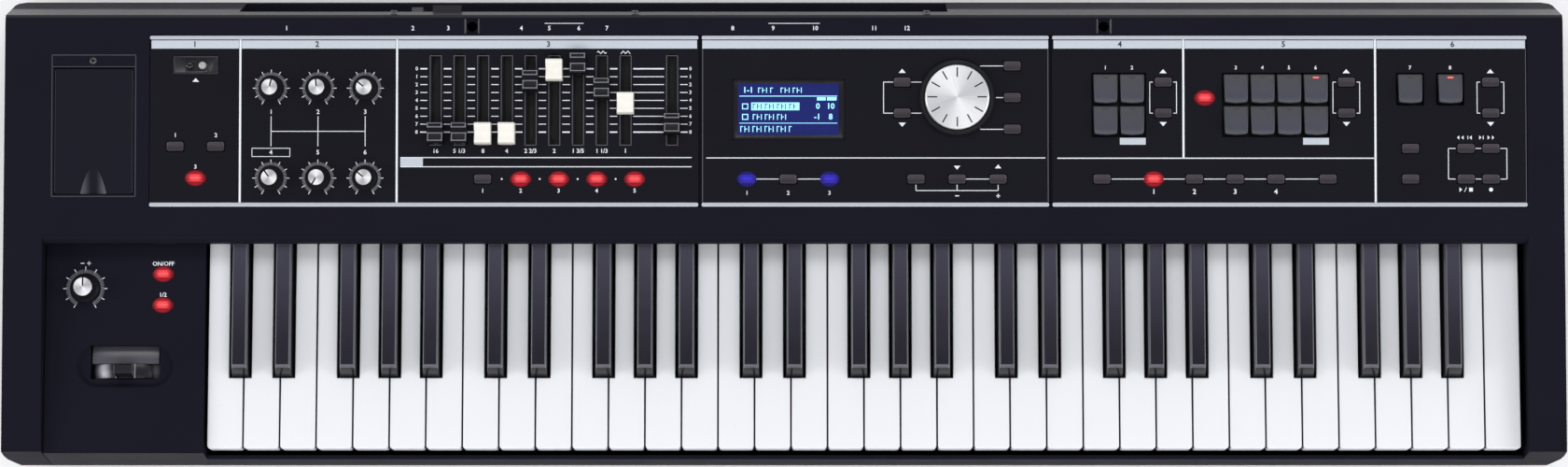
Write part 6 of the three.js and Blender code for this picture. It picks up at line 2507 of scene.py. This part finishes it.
@dataclass
class BeamSensor:
    """The beam sensor's dark trough and its two eyes; sizes in millimetres."""

    place: Point = (-378.4, 109.5)
    spread: float = 4.1

    def build(self) -> None:
        """Softens the trough and domes the eyes."""
        trough = Piece.copy_of("beam_sensor").soften(0.25, 2, 40).smooth(35)
        trough.done("beam_trough", Finishes.smoked, ROOT, ("beam_sensor",))
        dome = [(2.45, -3.0), (2.45, -1.0), (2.1, -0.55), (1.4, -0.25), (0.5, -0.1)]
        for name, side, finish in (
            ("beam_eye_dark", -1, Finishes.window),
            ("beam_eye_clear", 1, Finishes.clear_lens),
        ):
            eye = Piece.turned(dome, 28).remember().smooth(60)
            eye.settle(PANEL, (self.place[0] + side * self.spread, self.place[1], 0))
            eye.done(name, finish)


@dataclass
class MemoryBay:
    """The memory compartment's door, tray and outline; sizes in millimetres."""

    middle: float = -443.8
    outer: tuple[float, float, float, float] = (-470.7, 25.0, -416.9, 116.0)
    hinge: float = 107.6
    screw_at: Point = (-444.4, 112.3)
    leaf: Sequence[Point] = ((-469.0, 26.6), (-418.6, 106.0))
    scoop: float = 22.0
    scoop_depth: float = 1.6
    scoop_tilt: float = math.radians(5.7)

    def build(self) -> None:
        """Softens the door, frames it and screws the hinge strip down."""
        self.door()
        dress(Finishes.smoked, "memory_port")
        x0, y0, x1, y1 = self.outer
        lines = Sheet().frame(x0, y0, x1, y1, 0.6).across(self.hinge + 0.9, x0, x1)
        lines.print_on(CASE_TOP.matrix()).done("bay_surround", Finishes.faint_ink)
        screw = Case.screw(2.2, 0.7).settle(CASE_TOP.matrix(), (*self.screw_at, 0))
        screw.done("bay_screw", Finishes.screw)

    def door(self) -> None:
        """The leaf with its finger scoop, on its barrel and pins."""
        (x0, y0), (x1, y1) = self.leaf
        leaf = Piece.block((x0, y0, -2.0), (x1, y1, 0.0))
        leaf.pick(Pick.EDGES, lambda c, e: stands(e) and c.y < y0 + 1).bevel(1.6, 4)
        leaf.pick(Pick.EDGES, lambda c, e: c.z > -0.1 and c.y < y1 - 1).bevel(0.45, 3)
        scoop = Piece.rod((self.middle, -20, 0), 60, self.scoop, Axis.Y, 96)
        scoop.all().rotate(self.scoop_tilt, (self.middle, 0, 0), "X")
        scoop.all().shift((0, y0, self.scoop - self.scoop_depth))
        leaf.less(scoop)
        barrel = Piece.rod((x0, y1, -1.6), x1 - x0, 1.6, Axis.X, 24)
        pins = Piece.rod((x0 - 1.8, y1, -1.6), x1 - x0 + 3.6, 0.9, Axis.X, 16)
        leaf.join(barrel, pins).smooth(4.6).settle(PANEL)
        leaf.done("bay_door", Finishes.door, "door", ("memory_door",))


@dataclass
class ControlBlock:
    """The block beside the keys, with the bender, volume and rotary buttons; millimetres."""

    top: float = 69.0
    volume: Point = (-450.6, -41.68)
    rotary: Sequence[Pair] = ((-400.5, -32.28), (-400.5, -52.38))
    bender: Point = (-424.4, -84.5, 0.0)

    def build(self) -> None:
        """Dresses the block and fills its openings."""
        dress(Finishes.block, "control_block")
        for node, name, body, finish in (
            ("bender_yoke", "bender_saddle", "yoke", Finishes.yoke),
            ("bender_lever", "bender_handle", "lever", Finishes.lever),
        ):
            piece = Piece.copy_of(node).soften(0.3, 2, 40).smooth(35).remember(self.bender)
            piece.done(name, finish, body, (node,))
        flat = Matrix.Translation(mm(0, 0, self.top))
        volume = (*self.volume, 0)
        Knob("volume_knob_body", "volume_knob", "knob_volume", volume, 0, 1.18, flat).build()
        places = [(x, y, Lamp.RED) for x, y in self.rotary]
        ButtonSet("rotary_caps", "rotary_buttons", "rotary_caps", places, flat).build()
        self.print(flat)

    def print(self, flat: Matrix) -> None:
        """Ticks round the volume knob, its signs, and the rotary buttons' figures.

        Args:
            flat: the block's top.
        """
        ink, fine = Sheet(), Sheet()
        x, y = self.volume
        Knob.scale_ring(ink, fine, (x, y), 1.2)
        fine.print_on(flat).done("block_print_fine", Finishes.fine_ink)
        ink.across(y + 16.4, x - 3.4, x - 0.8)
        ink.across(y + 16.4, x + 0.8, x + 3.4).upright(x + 2.1, y + 15.1, y + 17.7)
        for (bx, by), words in zip(self.rotary, ("ON/OFF", "1/2")):
            ink.numeral(words, bx, by + 6.6, 2.7)
        ink.print_on(flat).done("block_print", Finishes.white_ink)


@dataclass
class RearSockets:
    """What stands on the socket plate at the rear; sizes in millimetres."""

    line: float = 58.0
    plate: float = 133.78
    jacks: Sequence[float] = (-169, -151, -132, -114, -33, 58, 79)
    rounds: Sequence[float] = (-7, 20)
    switch: float = -238.8
    power: float = -216.0
    data: float = -320.0

    def build(self) -> None:
        """Dresses the plate and adds nuts, sleeves, pins and the switch."""
        dress(Finishes.smoked, "socket_unit")
        self.nuts()
        self.pins()
        switch = Piece.copy_of("power_button").soften(0.5, 3, 40).smooth(35)
        switch.done("power_switch_cap", Finishes.grey_cap, "power", ("power_button",))
        self.figures()

    def facing(self, x: float) -> Matrix:
        """A frame whose z line points out of the plate at a socket."""
        place = Matrix.Translation(mm(x, self.plate, self.line))
        return place @ Matrix.Rotation(-math.pi / 2, 4, "X")

    def nuts(self) -> None:
        """A hex nut, a washer and a threaded sleeve round each jack."""
        nut = Piece.turned([(6.9, 0.3), (6.9, 2.6), (6.1, 3.1)], 6)
        washer = Piece.turned([(7.3, 0.0), (7.5, 0.15), (7.3, 0.4)], 40)
        sleeve = Piece.turned([(4.4, 0.2), (4.4, 3.3), (4.1, 3.7)], 32)
        bore = Piece.disc((0, 0, -2), 3.25, 32)
        bore.pick(Pick.FACES, every).draw((0, 0, 8)).outwards()
        ring = nut.join(washer, sleeve).less(bore).smooth(30)
        ring.spread([self.facing(x) for x in self.jacks]).done("jack_nuts", Finishes.nickel)
        ring.discard()

    def pins(self) -> None:
        """The cores of the round sockets, the power pin and the data socket's tongue."""
        core = Piece.turned([(7.0, -7.5), (7.0, -1.2), (6.4, -1.0)], 36)
        holes = []
        for angle in (-90, -45, 0, 45, 90):
            x, y = 3.4 * math.sin(math.radians(angle)), 3.4 * math.cos(math.radians(angle))
            hole = Piece.disc((x, y, -4), 0.7, 12)
            holes.append(hole.pick(Pick.FACES, every).draw((0, 0, 6)).outwards())
        core.less(*holes).smooth(30)
        moves = [self.facing(x) for x in self.rounds]
        core.spread(moves).done("round_socket_cores", Finishes.skirt)
        core.discard()
        pin = Piece.turned([(1.0, -12), (1.0, -1.6), (0.7, -1.2), (0.3, -1.1)], 16).smooth(40)
        pin.settle(self.facing(self.power)).done("power_socket_pin", Finishes.nickel)
        tongue = Piece.block((-2.9, -1.8, -12), (2.9, 1.6, -1.5)).soften(0.3, 2)
        tongue.settle(self.facing(self.data)).done("data_socket_tongue", Finishes.drawbar_white)

    def figures(self) -> None:
        """Numbers under the sockets on their plate, and the same ones on the case above them."""
        plate, top = Sheet(), Sheet()
        places = sorted((self.data, self.switch, self.power, *self.jacks, *self.rounds))
        for i, x in enumerate(places):
            plate.numeral(str(i + 1), -x, -12.0, 3.4)
            top.numeral(str(i + 1), x, 133.2, 2.8)
        for x0, x1 in ((-151, -132), (-7, 20)):
            top.across(136.4, x0 - 3, x1 + 3, 0.4)
        turn = Matrix.Rotation(math.pi, 4, "Z") @ Matrix.Rotation(math.pi / 2, 4, "X")
        plate.print_on(Matrix.Translation(mm(0, self.plate, self.line)) @ turn, 0.0)
        plate.done("socket_figures", Finishes.white_ink)
        top.print_on(CASE_TOP.matrix()).done("socket_figures_above", Finishes.white_ink)


class Insides:
    """What the closed case hides."""

    @staticmethod
    def build() -> None:
        """Dresses the boards, the keybed's frame and the bracket."""
        dress(Finishes.panel_board, "panel_board")
        dress(Finishes.board, "main_board", "key_contact_board")
        dress(Finishes.frame, "keybed_frame")
        dress(Finishes.steel, "control_bracket")


def button_sets() -> list[ButtonSet]:
    """The push buttons of the three plates, each with its place and its lamp.

    Returns:
        The three sets.
    """
    low, off, red, blue = Row.low, Lamp.OFF, Lamp.RED, Lamp.BLUE
    organ = [(x, y, lamp) for (x, y), lamp in zip(Row.sensor, (off, off, red))]
    organ += [(x, low, red if i else off) for i, x in enumerate(Row.organ)]
    display = [(x, low, lamp) for x, lamp in zip(Row.display, (blue, off, blue))]
    display += [(x, low, off) for x in Row.dial]
    display += [(76.0, y, off) for y in Row.steps]
    display += [(146.7, y, off) for y in (68.2, 88.6, 109.0)]
    tone = [(x, y, off) for x in Row.arrows for y in Row.steps]
    tone += [(270.5, 88.4, red)]
    tone += [(x, low, red if i == 1 else off) for i, x in enumerate(Row.numbered)]
    tone += [(x, y, off) for x in (402.6, 438.2, 454.3) for y in (Row.high, low)]
    return [
        ButtonSet("organ_caps", "organ_buttons", "organ_caps", organ),
        ButtonSet("display_caps", "display_buttons", "display_caps", display),
        ButtonSet("tone_caps", "tone_buttons", "tone_caps", tone),
    ]


def main() -> None:
    """Builds the studio and then the organ, from the case inwards."""
    logging.basicConfig(level=logging.INFO, format="%(message)s")
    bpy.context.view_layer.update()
    Studio().build()
    first = [Case(), KeyCombs(), ControlBlock(), Plates()]
    controls = [TonePads(), EffectKnobs(), ValueDial(), Drawbars(), DisplayWindow(), BeamSensor()]
    around = [MemoryBay(), RearSockets(), Insides()]
    for assembly in [*first, *button_sets(), *controls, *around]:
        log.info("building %s", type(assembly).__name__)
        assembly.build()
    Bench.rest()


if __name__ == "__main__":
    main()
